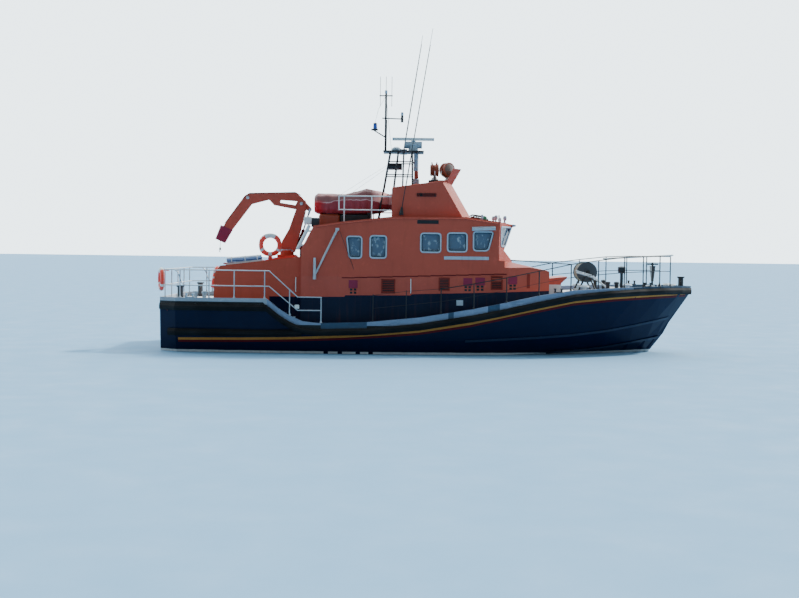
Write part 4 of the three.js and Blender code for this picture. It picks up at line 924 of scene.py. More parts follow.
# Handles, lamps and small fittings on the house

GRAB_HANDLE_X = -0.72
AFT_HANDLE = [(-1.89, 1.9), (-1.97, 1.94), (-1.97, 2.31), (-1.89, 2.35)]  # y and z
AFT_HANDLE_X = -4.36
ROOF_LINE = [(-3.82, 4.0), (-2.9, 4.14), (-1.4, 4.31), (1.0, 4.33), (2.6, 4.12)]
HATCH_RAIL = [(1.22, 4.30), (1.27, 4.45), (1.70, 4.40), (1.86, 4.21)]  # x and z
HATCH_RAIL_Y = 0.46
ROOF_LAMPS = [(2.05, 0.55), (2.30, 1.0)]  # x and y
ROOF_LAMP_UP = 0.17
ROOF_LAMP_GLASS = [(0.07, 0.05), (0.055, 0.062), (0.0, 0.068)]
SIDE_LIGHT_AT = (1.62, 1.58)
SIDE_LIGHT = [(0.05, 0), (0.055, 0.02), (0.055, 0.10), (0.04, 0.12), (0.0, 0.125)]


def roof_z(x):
    """Height of the wheelhouse roof along the boat."""
    return height_on(ROOF_LINE, x)


@piece("white_paint", smooth=60)
def grab_handles(shape):
    x, y = GRAB_HANDLE_X, skin_y("deckhouse", GRAB_HANDLE_X, 1.90)
    shape.tube([(x, y - 0.01, 1.90), (x, y + 0.06, 1.93), (x, y + 0.06, 2.32), (x, y - 0.01, 2.35)], 0.014)
    shape.mirror()
    shape.tube([(AFT_HANDLE_X, y, z) for y, z in AFT_HANDLE], 0.014)


@piece("dark_metal", smooth=60)
def roof_hatch_rails(shape):
    for y in (HATCH_RAIL_Y, -HATCH_RAIL_Y):
        shape.tube([(x, y, z) for x, z in HATCH_RAIL], 0.018)
        shape.tube([(1.48, y, 4.27), (1.48, y, 4.43)], 0.014)


@piece("band_paint", smooth=40)
def roof_lamps(shape):
    """Lamps over the windscreen, boards behind the side lights and a short post."""
    stalk = [(0.05, 0), (0.05, 0.03), (0.028, 0.05), (0.028, 0.14)]
    bowl = [(0.03, -0.05), (0.075, -0.03), (0.08, 0.04), (0.07, 0.05)]
    for x, y in [(x, side * y) for x, y in ROOF_LAMPS for side in SIDES]:
        shape.turned(stalk, (x, y, roof_z(x)), UP, 14)
        shape.turned(bowl, (x, y, roof_z(x) + ROOF_LAMP_UP), FORWARD, 16)
    x = SIDE_LIGHT_AT[0]
    for y in (SIDE_LIGHT_AT[1], -SIDE_LIGHT_AT[1]):
        shape.slab((x - 0.12, y - 0.09, roof_z(x) - 0.05), (x - 0.06, y + 0.09, roof_z(x) + 0.17))
    shape.turned([(0.02, 0), (0.02, 0.25), (0.03, 0.26), (0.0, 0.30)], (2.2, 0.0, roof_z(2.2)), UP, 10)


@piece("lamp_glass", smooth=60)
def roof_lamp_glasses(shape):
    for x, y in ROOF_LAMPS:
        shape.turned(ROOF_LAMP_GLASS, (x, y, roof_z(x) + ROOF_LAMP_UP), FORWARD, 16)
    shape.mirror()


def side_light(shape, side):
    x, y = SIDE_LIGHT_AT
    shape.turned(SIDE_LIGHT, (x, side * y, roof_z(x)), UP, 14)


@piece("green_lens", smooth=40)
def starboard_side_light(shape):
    side_light(shape, -1)


@piece("red_paint", smooth=40)
def port_side_light(shape):
    side_light(shape, 1)


@piece("house_paint", smooth=60)
def roof_gutters(shape):
    """The rolled edges of the wheelhouse roof."""
    xs = np.linspace(-3.75, 2.02, 24)
    for side in SIDES:
        edge = [(x, side * (wall_y(roof_z(x) - 0.05) + 0.012), roof_z(x) - 0.055) for x in xs]
        shape.tube(edge, 0.017, 6)


# Upper steering house and the helms

UPPER_SLOT = (-0.55, 0.06, 4.98, 5.09)  # aft x, fore x, low z, high z
COCKPIT_RIM = [(-1.36, 5.23), (0.41, 5.49)]
COCKPIT_POST = [(0.04, 0), (0.04, 0.02), (0.03, 0.03), (0.03, 0.22), (0.018, 0.24)]
WHEEL_AT = Vector((0.10, 0.0, 5.0))
WHEEL_RADIUS = 0.19
UPPER_SCREENS = (-0.45, 0.45)
LOWER_SCREENS = (-0.95, -0.32, 0.32, 0.95)


@piece("dark_metal")
def upper_vent_slats(shape):
    aft, fore, low, high = UPPER_SLOT
    for k in range(3):
        z = low + (k + 0.5) * (high - low) / 3
        for y in (1.40, -1.40):
            shape.slab((aft - 0.01, y - 0.03, z - 0.012), (fore + 0.01, y + 0.012, z + 0.004), 0.003)


@piece("house_paint", smooth=60)
def cockpit_rims(shape):
    xs = np.linspace(-1.34, 0.40, 8)
    for y in (1.325, -1.325):
        shape.tube([(x, y, height_on(COCKPIT_RIM, x) + 0.005) for x in xs], 0.028)


@piece("dark_metal", smooth=40)
def cockpit_posts(shape):
    for y in (1.05, -1.05):
        shape.turned(COCKPIT_POST, (0.02, y, 5.45), UP, 10)


@piece("dark_trim", smooth=60)
def helm_controls(shape):
    """The upper helm's wheel, and the cases of its screens."""
    def on_rim(t, out=0.0):
        return WHEEL_AT + Vector((out * math.sin(t), WHEEL_RADIUS * math.cos(t), WHEEL_RADIUS * math.sin(t)))
    shape.tube([on_rim(t, 0.03) for t in np.linspace(0, 2 * math.pi, 25)], 0.014, 6)
    for t in (0.5, 2.6, 4.7):
        shape.tube([WHEEL_AT, on_rim(t)], 0.01, 6)
    shape.turned([(0.04, -0.01), (0.04, 0.03), (0.02, 0.06)], WHEEL_AT, FORWARD, 12)
    for y in UPPER_SCREENS:
        shape.slab((0.19, y - 0.16, 5.245), (0.42, y + 0.16, 5.30), 0.012)


@piece("louvre_dark")
def helm_screens(shape):
    for y in UPPER_SCREENS:
        shape.slab((0.21, y - 0.14, 5.296), (0.40, y + 0.14, 5.305), 0.004)
    for y in LOWER_SCREENS:
        shape.slab((1.472, y - 0.24, 3.02), (1.492, y + 0.24, 3.22), 0.004)


# Seat pads in the wheelhouse

SEAT_XS = (0.70, -0.50, -1.90)
SEAT_YS = (-0.90, 0.90)
PAD_STEPS = 10


def cushion(shape, centre, half, thick, tilt=0.0):
    """A crowned pad with rounded sides that pull in between its corners, and seams on its upper face."""
    turn = Matrix.Rotation(tilt, 3, "Y")
    rows = np.linspace(-1, 1, PAD_STEPS)
    for face in (1, -1):
        grid = []
        for u in rows:
            line = []
            for v in rows:
                pinch = 1 - 0.05 * (1 - u * u) * abs(v) ** 3 - 0.05 * (1 - v * v) * abs(u) ** 3
                edge = (1 - abs(u) ** 6) * (1 - abs(v) ** 6)
                height = face * thick / 2 * max(edge, 0) ** 0.4
                if face > 0:
                    seam = 0.12 * math.exp(-((v * 3) % 2 - 1) ** 2 * 40)
                    height += 0.02 * (1 - u * u) * (1 - v * v) - seam * thick
                spot = Vector((half[0] * u * pinch, half[1] * v * pinch, height))
                line.append(Vector(centre) + turn @ spot)
            grid.append(line)
        shape.skin(grid, closed=False, caps=False)


def add_seat_pads():
    for n, (x, y) in enumerate((x, y) for x in SEAT_XS for y in SEAT_YS):
        pads = Shape()
        cushion(pads, (x, y, 2.62), (0.23, 0.23), 0.08)
        cushion(pads, (x - 0.205, y, 2.93), (0.30, 0.21), 0.07, math.radians(-96))
        pads.make(f"seat_pads_{n + 1}", "seat_cloth", smooth=60)


add_seat_pads()


# Searchlights

SEARCHLIGHTS = [
    # centre, radius, how far it is turned from straight ahead
    (Vector((0.03, -0.45, 5.88)), 0.19, 0.0),
    (Vector((0.47, 0.45, 5.96)), 0.235, -0.9),
]
LAMP_BACK = -0.15
LAMP_FACE = 0.12
LAMP_SHELF_Z = 5.56
LAMP_FINS = 5


def lamp_axes(turn):
    """The level directions ahead of a lamp and across it."""
    return Vector((math.cos(turn), math.sin(turn), 0)), Vector((-math.sin(turn), math.cos(turn), 0))


def lamp_arms(centre, radius, turn):
    """The two pivots of a lamp's yoke, each with its outward direction."""
    across = lamp_axes(turn)[1]
    return [(centre + side * (radius + 0.012) * across, side * across) for side in SIDES]


# painted shade in the lens colour
@piece("lamp_lens", smooth=60)
def searchlight_glasses(shape):
    for centre, radius, turn in SEARCHLIGHTS:
        ahead = lamp_axes(turn)[0]
        bulge = [(radius - 0.02, 0), (radius * 0.8, 0.012), (0.0, 0.03)]
        shape.turned(bulge, centre + LAMP_FACE * ahead, ahead)


@piece("lamp_paint", smooth=40)
def searchlight_brackets(shape):
    """Rims, cooling fins, pivot caps and the handle on the starboard lamp."""
    for centre, radius, turn in SEARCHLIGHTS:
        ahead = lamp_axes(turn)[0]
        rim = [(radius - 0.01, -0.05), (radius + 0.01, -0.04), (radius + 0.01, 0.004), (radius - 0.02, 0.006)]
        shape.turned(rim, centre + LAMP_FACE * ahead, ahead)
        fin = [(radius - 0.02, 0), (radius + 0.004, 0.006), (radius + 0.004, 0.012), (radius - 0.02, 0.018)]
        for k in range(LAMP_FINS):
            shape.turned(fin, centre + (LAMP_BACK + 0.03 + 0.03 * k) * ahead, ahead, 20)
        for arm, outward in lamp_arms(centre, radius, turn):
            shape.turned([(0.03, 0), (0.03, 0.02), (0.0, 0.03)], arm, outward, 12)
    for along, lean in [(-0.08, -0.02), (0.05, 0.02)]:
        foot = SEARCHLIGHTS[0][0] + Vector((along, 0, 0.17))
        shape.tube([foot, foot + Vector((lean, 0, 0.10))], [0.034, 0.016])


@piece("white_paint", smooth=40)
def searchlight_bases(shape):
    for centre, radius, turn in SEARCHLIGHTS:
        drop = centre.z - LAMP_SHELF_Z - radius
        foot = Vector((centre.x, centre.y, LAMP_SHELF_Z))
        shape.turned([(0.113, 0.001), (0.117, 0.03), (0.08, 0.075), (0.05, 0.10), (0.05, drop)], foot, UP, 16)
        for arm, _ in lamp_arms(centre, radius, turn):
            shape.tube([arm, arm - Vector((0, 0, radius * 0.7)), foot + Vector((0, 0, drop * 0.6))], 0.018, 6)


# Inflatable boat under its cover

COVER_ROWS = [
    # x, half breadth, foot, shoulder, ridge
    (-3.90, 0.560, 4.46, 4.77, 5.05),
    (-3.81, 0.700, 4.41, 4.77, 5.12),
    (-3.40, 0.790, 4.38, 4.76, 5.11),
    (-2.90, 0.815, 4.37, 4.88, 5.10),
    (-2.20, 0.795, 4.40, 4.87, 5.29),
    (-1.80, 0.620, 4.45, 4.82, 5.22),
    (-1.44, 0.300, 4.58, 4.75, 5.12),
]
COVER_ALONG = 96
COVER_SINK = 0.012
SECTION_STEPS = 6
TAIL_ROWS = [
    # x, half breadth, low, high
    (-1.52, 0.24, 4.66, 5.07),
    (-1.45, 0.31, 4.61, 5.11),
    (-1.372, 0.36, 4.60, 5.13),
]


def cover_section(half, foot, shoulder, ridge):
    """The port half of a section: under the tube, up to the shoulder, and steeply on to the slack top."""
    tube = shoulder - foot
    corners = [
        (0.0, foot + 0.02), (0.50 * half, foot), (0.86 * half, foot + 0.10 * tube),
        (0.985 * half, foot + 0.42 * tube), (half, foot + 0.80 * tube), (0.99 * half, shoulder),
        (0.86 * half, shoulder + 0.72 * (ridge - shoulder)), (0.45 * half, ridge - 0.025), (0.0, ridge),
    ]
    points = []
    for a, b in zip(corners, corners[1:]):
        points += [Vector(a).lerp(Vector(b), n / SECTION_STEPS) for n in range(SECTION_STEPS)]
    soft = np.array(points + [corners[-1]])
    for _ in range(3):
        soft[1:-1] = 0.25 * soft[:-2] + 0.5 * soft[1:-1] + 0.25 * soft[2:]
    return soft


def cover_fold(x, share, side):
    """How far a fold stands in from the stretched sheet. share runs from the keel, 0, to the ridge, 1."""
    skirt = max(0.0, 1 - abs(share - 0.42) / 0.26)
    sheet = max(0.0, 1 - abs(share - 0.80) / 0.18)
    pleats = skirt * (0.010 * math.sin(31 * x + side) + 0.006 * math.sin(53 * x + 2.1 * side + 4 * share))
    swags = 0.020 * math.sin(5.2 * x + 9 * share * side) ** 2 + 0.007 * math.sin(17 * x - 14 * share + side)
    return pleats + sheet * swags + 0.004 * math.sin(11 * x + 23 * share)


def cover_loop(x, row):
    """One closed section of the cover, with its folds."""
    section = cover_section(*row)
    middle = np.array((0.0, 0.5 * (row[1] + row[2])))
    loop = []
    for side in SIDES:
        half_loop = []
        for n, spot in enumerate(section):
            inward = middle - spot
            reach = max(float(np.hypot(*inward)), 1e-6)
            y, z = spot + inward / reach * (cover_fold(x, n / (len(section) - 1), side) + COVER_SINK)
            half_loop.append((x, side * max(float(y), 0.0), float(z)))
        loop += half_loop if side == 1 else half_loop[-2:0:-1]
    return loop


@piece("cover_fabric", smooth=70)
def inflatable_cover(shape):
    xs, *columns = zip(*COVER_ROWS)
    places = np.linspace(xs[0], xs[-1], COVER_ALONG + 1)
    shape.skin([cover_loop(x, [float(np.interp(x, xs, column)) for column in columns]) for x in places])


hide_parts("inflatable_boat")


@piece("cover_fabric", smooth=50)
def cover_tail(shape):
    """The end of the cover that joins it to the steering house."""
    loops = []
    for x, half, low, high in TAIL_ROWS:
        eave, brow = half * 0.9, high - 0.05
        loops.append([(x, -half, low), (x, half, low), (x, eave, brow), (x, 0, high), (x, -eave, brow)])
    shape.skin(loops)


@piece("lamp_paint", smooth=40)
def cover_chock(shape):
    shape.slab((-3.74, -0.72, 4.0), (-3.06, 0.72, 4.40), 0.05)


@piece("dark_trim", smooth=40)
def roof_boxes(shape):
    shape.slab((-3.04, -0.70, 4.1), (-2.12, 0.70, 4.395), 0.02)
    shape.slab((-3.93, -1.35, 3.96), (-3.68, -1.08, 4.26), 0.02)


@piece("white_paint", smooth=40)
def roof_case(shape):
    shape.slab((-4.17, -1.37, 4.04), (-3.92, -1.10, 4.29), 0.03)


# Lifebuoys: white bands and a grab line

RING_RADIUS = 0.3
RING_TUBE = 0.072
RINGS = [
    # centre, and the level direction across the ring
    (Vector((-5.26, -1.19, 3.37)), Vector((1, 0, 0))),
    (Vector((-8.70, -1.53, 2.23)), Vector((-math.sin(0.32), math.cos(0.32), 0))),
]
RING_BANDS = [(90, 32), (212, 7), (270, 11), (328, 7)]  # middle and half width, in degrees from level


def ring_point(centre, across, angle, radius, out=0.0):
    up = Vector(UP)
    return centre + radius * (math.cos(angle) * across + math.sin(angle) * up) + out * across.cross(up)


@piece("white_paint", smooth=60)
def lifebuoy_bands(shape):
    for centre, across in RINGS:
        for middle, half in RING_BANDS:
            arc = np.radians(np.linspace(middle - half, middle + half, 7))
            shape.tube([ring_point(centre, across, t, RING_RADIUS) for t in arc], RING_TUBE + 0.004, 14)


@piece("rope_fibre", smooth=60)
def lifebuoy_grab_lines(shape):
    """A line that sags outwards between four points on each ring."""
    for centre, across in RINGS:
        for start in np.radians((0, 90, 180, 270)):
            line = []
            for t in np.linspace(0, math.pi / 2, 8):
                radius = RING_RADIUS + RING_TUBE * (0.75 + 0.3 * math.sin(2 * t))
                line.append(ring_point(centre, across, start + t, radius, 0.03))
            shape.tube(line, 0.007, 5)


HORSESHOE_FOOT = Vector((-7.06, 1.98))  # x and z
HORSESHOE_HEAD = Vector((-6.94, 2.60))
HORSESHOE_Y = (-1.5, -1.1)
ARCH_RISE = 0.13
HORSESHOE_LENGTH = (HORSESHOE_HEAD - HORSESHOE_FOOT).length - ARCH_RISE


def on_horseshoe(y, along):
    flat = HORSESHOE_FOOT + along * (HORSESHOE_HEAD - HORSESHOE_FOOT).normalized()
    return (flat.x, y, flat.y)


@piece("buoy_plastic", smooth=60)
def horseshoe(shape):
    low, high = HORSESHOE_Y
    arch = []
    for t in np.linspace(0, math.pi, 11)[1:-1]:
        y = (low + high) / 2 - (high - low) / 2 * math.cos(t)
        arch.append(on_horseshoe(y, HORSESHOE_LENGTH + ARCH_RISE * math.sin(t)))
    up_leg = [on_horseshoe(low, along) for along in (0.0, 0.3, HORSESHOE_LENGTH)]
    down_leg = [on_horseshoe(high, along) for along in (HORSESHOE_LENGTH, 0.3, 0.0)]
    line = up_leg + arch + down_leg
    shape.tube(line, [0.06] + [0.075] * (len(line) - 2) + [0.06], 16)


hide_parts("horseshoe_buoy")


@piece("white_paint", smooth=60)
def horseshoe_bands(shape):
    for y in HORSESHOE_Y:
        for along in (HORSESHOE_LENGTH - 0.20, HORSESHOE_LENGTH - 0.03):
            shape.tube([on_horseshoe(y, along), on_horseshoe(y, along + 0.06)], 0.079, 16)


# Towing reel: rope wound on the drum

REEL_AT = (5.09, 2.61)  # x and z
ROPE_RADIUS = 0.019
ROPE_LAYERS = [(-0.37, 0.37), (-0.33, 0.34)]
DRUM_RADIUS = 0.262
STEPS_PER_TURN = 14


def on_reel(y, angle, radius):
    return (REEL_AT[0] + radius * math.cos(angle), y, REEL_AT[1] + radius * math.sin(angle))


@piece("rope_fibre", "reel_drum", smooth=60)
def reel_rope(shape):
    for layer, (low, high) in enumerate(ROPE_LAYERS):
        turns = (high - low) / (2.15 * ROPE_RADIUS)
        count = int(turns * STEPS_PER_TURN)
        line = []
        for k in range(count + 1):
            t = 2 * math.pi * turns * k / count
            y = low + (high - low) * k / count + 0.004 * math.sin(7.3 * t)
            radius = DRUM_RADIUS + ROPE_RADIUS * (0.7 + 1.7 * layer) + 0.003 * math.sin(3.1 * t)
            line.append(on_reel(y, t, radius))
        shape.tube(line, ROPE_RADIUS, 5)


@piece("reel_paint", "reel_drum", smooth=40, slot="dark_metal")
def reel_rims(shape):
    """The rolled rims and six stiffening ribs on each cheek."""
    rim = [(0.318, -0.022), (0.337, -0.02), (0.337, 0.02), (0.318, 0.022)]
    for y in (-0.42, 0.42):
        shape.turned(rim, on_reel(y * 0.985, 0, 0), (0, 1, 0), 28)
        for k in range(6):
            shape.tube([on_reel(y * 1.01, 0, 0), on_reel(y * 1.01, k * math.pi / 3, 0.32)], 0.012, 6)


# Deck fittings

DECK_LINE = [
    (-8.6, 1.7), (-5.2, 1.7), (-4.81, 1.39), (-4.47, 1.18), (-4.07, 1.01), (-3.6, 0.96), (-2.06, 1.01),
    (-0.45, 1.17), (1.22, 1.45), (2.24, 1.66), (3.28, 1.89), (4.44, 2.07), (5.6, 2.13), (6.6, 2.17),
    (7.5, 2.2), (8.6, 2.19),
]
HALF_LINE = [
    (-8.6, 2.25), (-8.05, 2.62), (-5.2, 2.76), (-2.06, 2.79), (-0.45, 2.78), (1.22, 2.74), (2.24, 2.68),
    (3.28, 2.56), (4.44, 2.34), (5.6, 1.98), (6.6, 1.55), (7.5, 1.02), (8.2, 0.5), (8.6, 0.09),
]
BAND_HEIGHT = 0.145
BOLLARD = [(0.062, 0.02), (0.062, 0.26), (0.085, 0.27), (0.085, 0.32), (0.06, 0.335), (0.0, 0.34)]
ROLLER = [(0.035, 0), (0.028, 0.06), (0.045, 0.10), (0.045, 0.115), (0.0, 0.12)]
VENT_CAP = [
    (0.09, 0), (0.09, 0.02), (0.06, 0.04), (0.06, 0.16), (0.15, 0.17), (0.16, 0.20), (0.12, 0.235), (0, 0.25),
]
BLACK_FENDER = [(0.0, 0), (0.05, 0.0), (0.05, 0.60), (0.12, 0.62), (0.125, 0.80), (0.05, 0.83), (0.0, 0.83)]
BUNDLES = [(6.2, -1.22, 0.42), (6.88, -0.72, 0.28), (4.55, -1.75, 0.36)]  # x, y, length
BUNDLE_RADII = (0.055, 0.05, 0.042)
LADDER_TOP = (4.66, 2.66)  # x and z
LADDER_Y = (-0.86, -0.98)
RAIL_LAMP = (-4.25, 1.46)
EYE_AT = (7.46, -0.45)


def band_z(x):
    """Height of the toe band's top edge."""
    return height_on(DECK_LINE, x)


def deck_z(x):
    return band_z(x) - BAND_HEIGHT


def half_breadth(x):
    return height_on(HALF_LINE, x)


def bollard_pair(shape, x, y):
    z = deck_z(x)
    shape.slab((x - 0.24, y - 0.12, z), (x + 0.24, y + 0.12, z + 0.03), 0.01)
    for post in (x - 0.14, x + 0.14):
        shape.turned(BOLLARD, (post, y, z), UP, 16)


def fairlead(shape, x):
    """A roller fairlead on the toe band."""
    y, z = half_breadth(x) - 0.055, band_z(x)
    shape.slab((x - 0.15, y - 0.05, z), (x + 0.15, y + 0.05, z + 0.025), 0.008)
    for roller in (x - 0.10, x + 0.10):
        shape.turned(ROLLER, (roller, y, z + 0.02), UP, 12)


@piece("dark_metal", smooth=40)
def deck_bollards(shape):
    """The forward bollards and fairleads, and a black fender on its post."""
    bollard_pair(shape, 5.78, 1.25)
    for x in (3.9, 6.9):
        fairlead(shape, x)
    shape.mirror()
    shape.turned(BLACK_FENDER, (6.02, -1.55, deck_z(6.02)), UP, 16)


@piece("band_paint")
def deck_pads(shape):
    """The aft bollards and fairleads, the pads along the side decks and a box at the bow."""
    bollard_pair(shape, -7.35, 2.2)
    fairlead(shape, -7.6)
    for x in np.arange(-4.6, 4.4, 0.75):
        y, z = half_breadth(x) - 0.15, deck_z(x)
        shape.slab((x, y - 0.02, z), (x + 0.3, y + 0.02, z + 0.03), 0.01)
    shape.mirror()
    shape.slab((7.05, -0.62, deck_z(7.2)), (7.30, -0.30, deck_z(7.2) + 0.16), 0.02)


@piece("band_paint", smooth=40)
def deck_vents(shape):
    for x in (4.95, 6.35):
        shape.turned(VENT_CAP, (x, 0.85, deck_z(x)), UP, 20)
    shape.mirror()


@piece("white_paint", smooth=40)
def bow_fairleads(shape):
    """White fairleads at the bow, lamps at the sweeps of the rail, and an eye on a post."""
    x, z = RAIL_LAMP
    y = half_breadth(x) - 0.03
    shape.slab((x - 0.07, y - 0.045, z - 0.06), (x + 0.07, y + 0.045, z + 0.06), 0.012)
    shape.slab((7.78, 0.37, band_z(7.9)), (8.02, 0.47, band_z(7.9) + 0.06), 0.02)
    shape.mirror()
    x, y = EYE_AT
    z = deck_z(x)
    shape.turned([(0.055, 0), (0.055, 0.02), (0.02, 0.03), (0.02, 0.09)], (x, y, z), UP, 12)
    turns = np.linspace(0, 2 * math.pi, 17)
    shape.tube([(x + 0.055 * math.cos(t), y, z + 0.145 + 0.055 * math.sin(t)) for t in turns], 0.013, 6)


@piece("bundle_blue", smooth=40)
def fender_bundles(shape):
    for x, y, length in BUNDLES:
        for k, radius in enumerate(BUNDLE_RADII):
            start = (x + 0.02 * k, y + 0.08 * (k - 1), deck_z(x) + radius + 0.012 * (k % 2))
            roll = [(0.0, 0), (radius * 0.8, 0.004), (radius, 0.03)]
            roll += [(radius, length - 0.03), (radius * 0.8, length), (0.0, length + 0.004)]
            shape.turned(roll, start, (1, 0.04 * k, 0), 12)


@piece("band_paint", smooth=60)
def boarding_ladder(shape):
    """A ladder folded against the locker, with its foot on the deck."""
    top_x, top_z = LADDER_TOP
    for y, low in zip(LADDER_Y, (0.0, 0.05)):
        shape.tube([(top_x, y, top_z - low), (5.2, y, 2.50 - low), (5.80, y, deck_z(5.8) + 0.03)], 0.022)
    for share in (0.2, 0.5, 0.8):
        x, z = top_x + 1.14 * share, top_z - 0.30 * share
        shape.tube([(x, LADDER_Y[0], z), (x, LADDER_Y[1], z - 0.045)], 0.014, 6)


# Rails: feet, wires forward, curved ends aft, and a boat hook

STERN_FEET = [-7.91, -7.0, -6.21, -5.26, -4.48, -3.5]
BOW_FEET = [0.22, 1.24, 2.26, 3.28, 4.3, 5.2, 6.08, 6.74, 7.35, 7.75]
WIRE_POSTS = [
    # x, top
    (-1.89, 1.85), (-0.86, 1.98), (0.22, 2.07), (1.24, 2.24), (2.26, 2.44), (3.28, 2.66), (4.3, 2.88),
]
TOP_WIRE_POSTS = 4
STERN_RAIL_END = [(-8.08, 2.56), (-8.0, 2.50), (-7.93, 2.36), (-7.86, 2.18), (-7.78, 2.09), (-7.66, 2.08)]
HOOK_POLE = [(5.35, -1.98, 3.07), (7.78, -0.80, 3.20), (7.86, -0.76, 3.205)]


def rail_y(x):
    """Where the rails stand, in from the edge."""
    return half_breadth(x) - 0.055


def rail_feet(shape, xs):
    foot = [(0.045, -0.01), (0.045, 0.012), (0.03, 0.018), (0.026, 0.06)]
    for x in xs:
        slope = (band_z(x + 0.05) - band_z(x - 0.05)) / 0.1
        for side in SIDES:
            shape.turned(foot, (x, side * rail_y(x), band_z(x)), (-slope, 0, 1), 14)


@piece("rail_metal", smooth=40)
def stern_rail_feet(shape):
    rail_feet(shape, STERN_FEET)


@piece("dark_metal", smooth=40)
def bow_rail_feet(shape):
    """Feet, and the chafe plates on the band beside them."""
    rail_feet(shape, BOW_FEET)
    for x in BOW_FEET:
        for side in SIDES:
            y, z = side * (half_breadth(x) - 0.02), band_z(x)
            shape.slab((x - 0.035, y - 0.012, z - 0.13), (x + 0.035, y + 0.03, z + 0.01), 0.008)


@piece("dark_metal")
def bow_rail_wires(shape):
    for side in SIDES:
        for share, posts in ((0.5, WIRE_POSTS), (1.0, WIRE_POSTS[:TOP_WIRE_POSTS])):
            wire = [(x, side * rail_y(x), band_z(x) + share * (top - band_z(x))) for x, top in posts]
            shape.tube(wire, 0.006, 5)
        for x, top in WIRE_POSTS[:2]:
            foot = (x, side * rail_y(x), band_z(x))
            shape.tube([foot, (x, side * rail_y(x), top + 0.03)], 0.013)
            shape.turned([(0.03, 0), (0.03, 0.012), (0.014, 0.03)], foot, UP, 12)


@piece("white_paint", smooth=60)
def boat_hook(shape):
    foot, neck, tip = HOOK_POLE
    shape.tube([foot, neck], 0.026, 10)
    shape.tube([neck, tip], [0.034, 0.006])


@piece("rail_metal", smooth=60)
def stern_rail_ends(shape):
    for side in SIDES:
        shape.tube([(x, side * rail_y(-7.95), z) for x, z in STERN_RAIL_END], 0.018)


@piece("dark_metal")
def fender_bolts(shape):
    """Bolts that clamp the rubber along its upper edge."""
    for x in np.arange(-8.2, 8.1, 0.4):
        y, z = half_breadth(x) + 0.06, band_z(x) - 0.193
        shape.turned([(0.018, 0), (0.018, 0.012), (0.01, 0.018), (0, 0.019)], (x, y, z), UP, 8)
    shape.mirror()


# Crane: hoses, pins, tip box, hook and ram sleeve

CRANE_HOSES = [(-4.40, 5.03), (-4.57, 5.125), (-5.30, 5.10), (-6.09, 5.075), (-6.235, 4.985), (-6.90, 4.07)]
CRANE_TIP = [(-7.03, 4.01), (-7.205, 3.55), (-6.895, 3.415), (-6.645, 3.855)]
HOOK_X = -7.05
RAM_FOOT = Vector((-4.47, 0, 3.30))
RAM_EYE = Vector((-4.08, 0, 4.56))
RAM_SLEEVE = [(0.049, 0.07), (0.058, 0.08), (0.058, 0.60), (0.049, 0.615)]
BOOM_PINS = [(-4.35, 0.165, 4.75), (-6.14, 0.075, 4.93)]
SLEW_X = -4.83


@piece("rubber", "crane_boom", smooth=60)
def crane_hoses(shape):
    for y in (-0.04, 0.04):
        shape.tube([(x, y, z) for x, z in CRANE_HOSES], 0.014, 6)


@piece("panel_paint", "crane_boom")
def crane_tip_box(shape):
    across_plate(shape, CRANE_TIP, 0.075)


@piece("dark_metal", "crane_boom", smooth=60)
def crane_hook(shape):
    """The wire, the weight and the open hook under it."""
    x = HOOK_X - 0.005
    shape.tube([(HOOK_X, 0, 3.52), (x, 0, 3.26)], 0.007, 6)
    shape.turned([(0.02, 0), (0.03, 0.02), (0.03, 0.07), (0.015, 0.09)], (x, 0, 3.18), UP, 12)
    turns = np.linspace(0.6, 5.0, 12)
    shape.tube([(HOOK_X + 0.035 * math.cos(t), 0, 3.15 + 0.035 * math.sin(t)) for t in turns], 0.009, 6)


@piece("maroon_paint", "crane_ram_barrel", smooth=40)
def crane_ram_sleeve(shape):
    shape.turned(RAM_SLEEVE, RAM_FOOT, RAM_EYE - RAM_FOOT, 20)


@piece("rail_metal", "crane_boom", smooth=40)
def crane_boom_pins(shape):
    for x, y, z in BOOM_PINS:
        shape.turned([(0.055, 0), (0.055, 0.02), (0.03, 0.035), (0.0, 0.036)], (x, y, z), (0, 1, 0), 16)
    shape.mirror()


@piece("rail_metal", "crane_column", smooth=40)
def crane_column_pins(shape):
    """The ram's pin caps, and the slewing ring with its bolts."""
    shape.turned([(0.035, 0), (0.035, 0.015), (0.0, 0.02)], (RAM_FOOT.x, 0.131, RAM_FOOT.z), (0, 1, 0), 14)
    shape.slab((-5.04, 0.138, 3.16), (-4.6, 0.162, 3.20), 0.006)
    shape.mirror()
    shape.turned([(0.25, 0), (0.25, 0.02), (0.235, 0.03)], (SLEW_X, 0, 3.2), UP, 28)
    for t in np.radians(range(0, 360, 30)):
        bolt = (SLEW_X + 0.24 * math.cos(t), 0.24 * math.sin(t), 3.228)
        shape.turned([(0.016, 0), (0.016, 0.012), (0, 0.016)], bolt, UP, 8)


# Mast: lamps, wires and small aerials

BLUE_LAMP = [(0.066, 0), (0.07, 0.02), (0.066, 0.15), (0.05, 0.2), (0, 0.215)]
MAST_LAMP = [(0.03, 0), (0.045, 0.01), (0.045, 0.10), (0.02, 0.12), (0, 0.125)]
RADAR_POST = [(0.076, 0), (0.08, 0.02), (0.08, 0.56), (0.076, 0.58)]
DOME = [(0.16, 0), (0.165, 0.03), (0.15, 0.12), (0.08, 0.17), (0.0, 0.18)]
SCANNER_X = -0.68
SCANNER_HALF = 0.66


@piece("blue_lens", smooth=40)
def blue_lamp(shape):
    shape.turned(BLUE_LAMP, (-1.95, 0, 7.25), UP, 16)


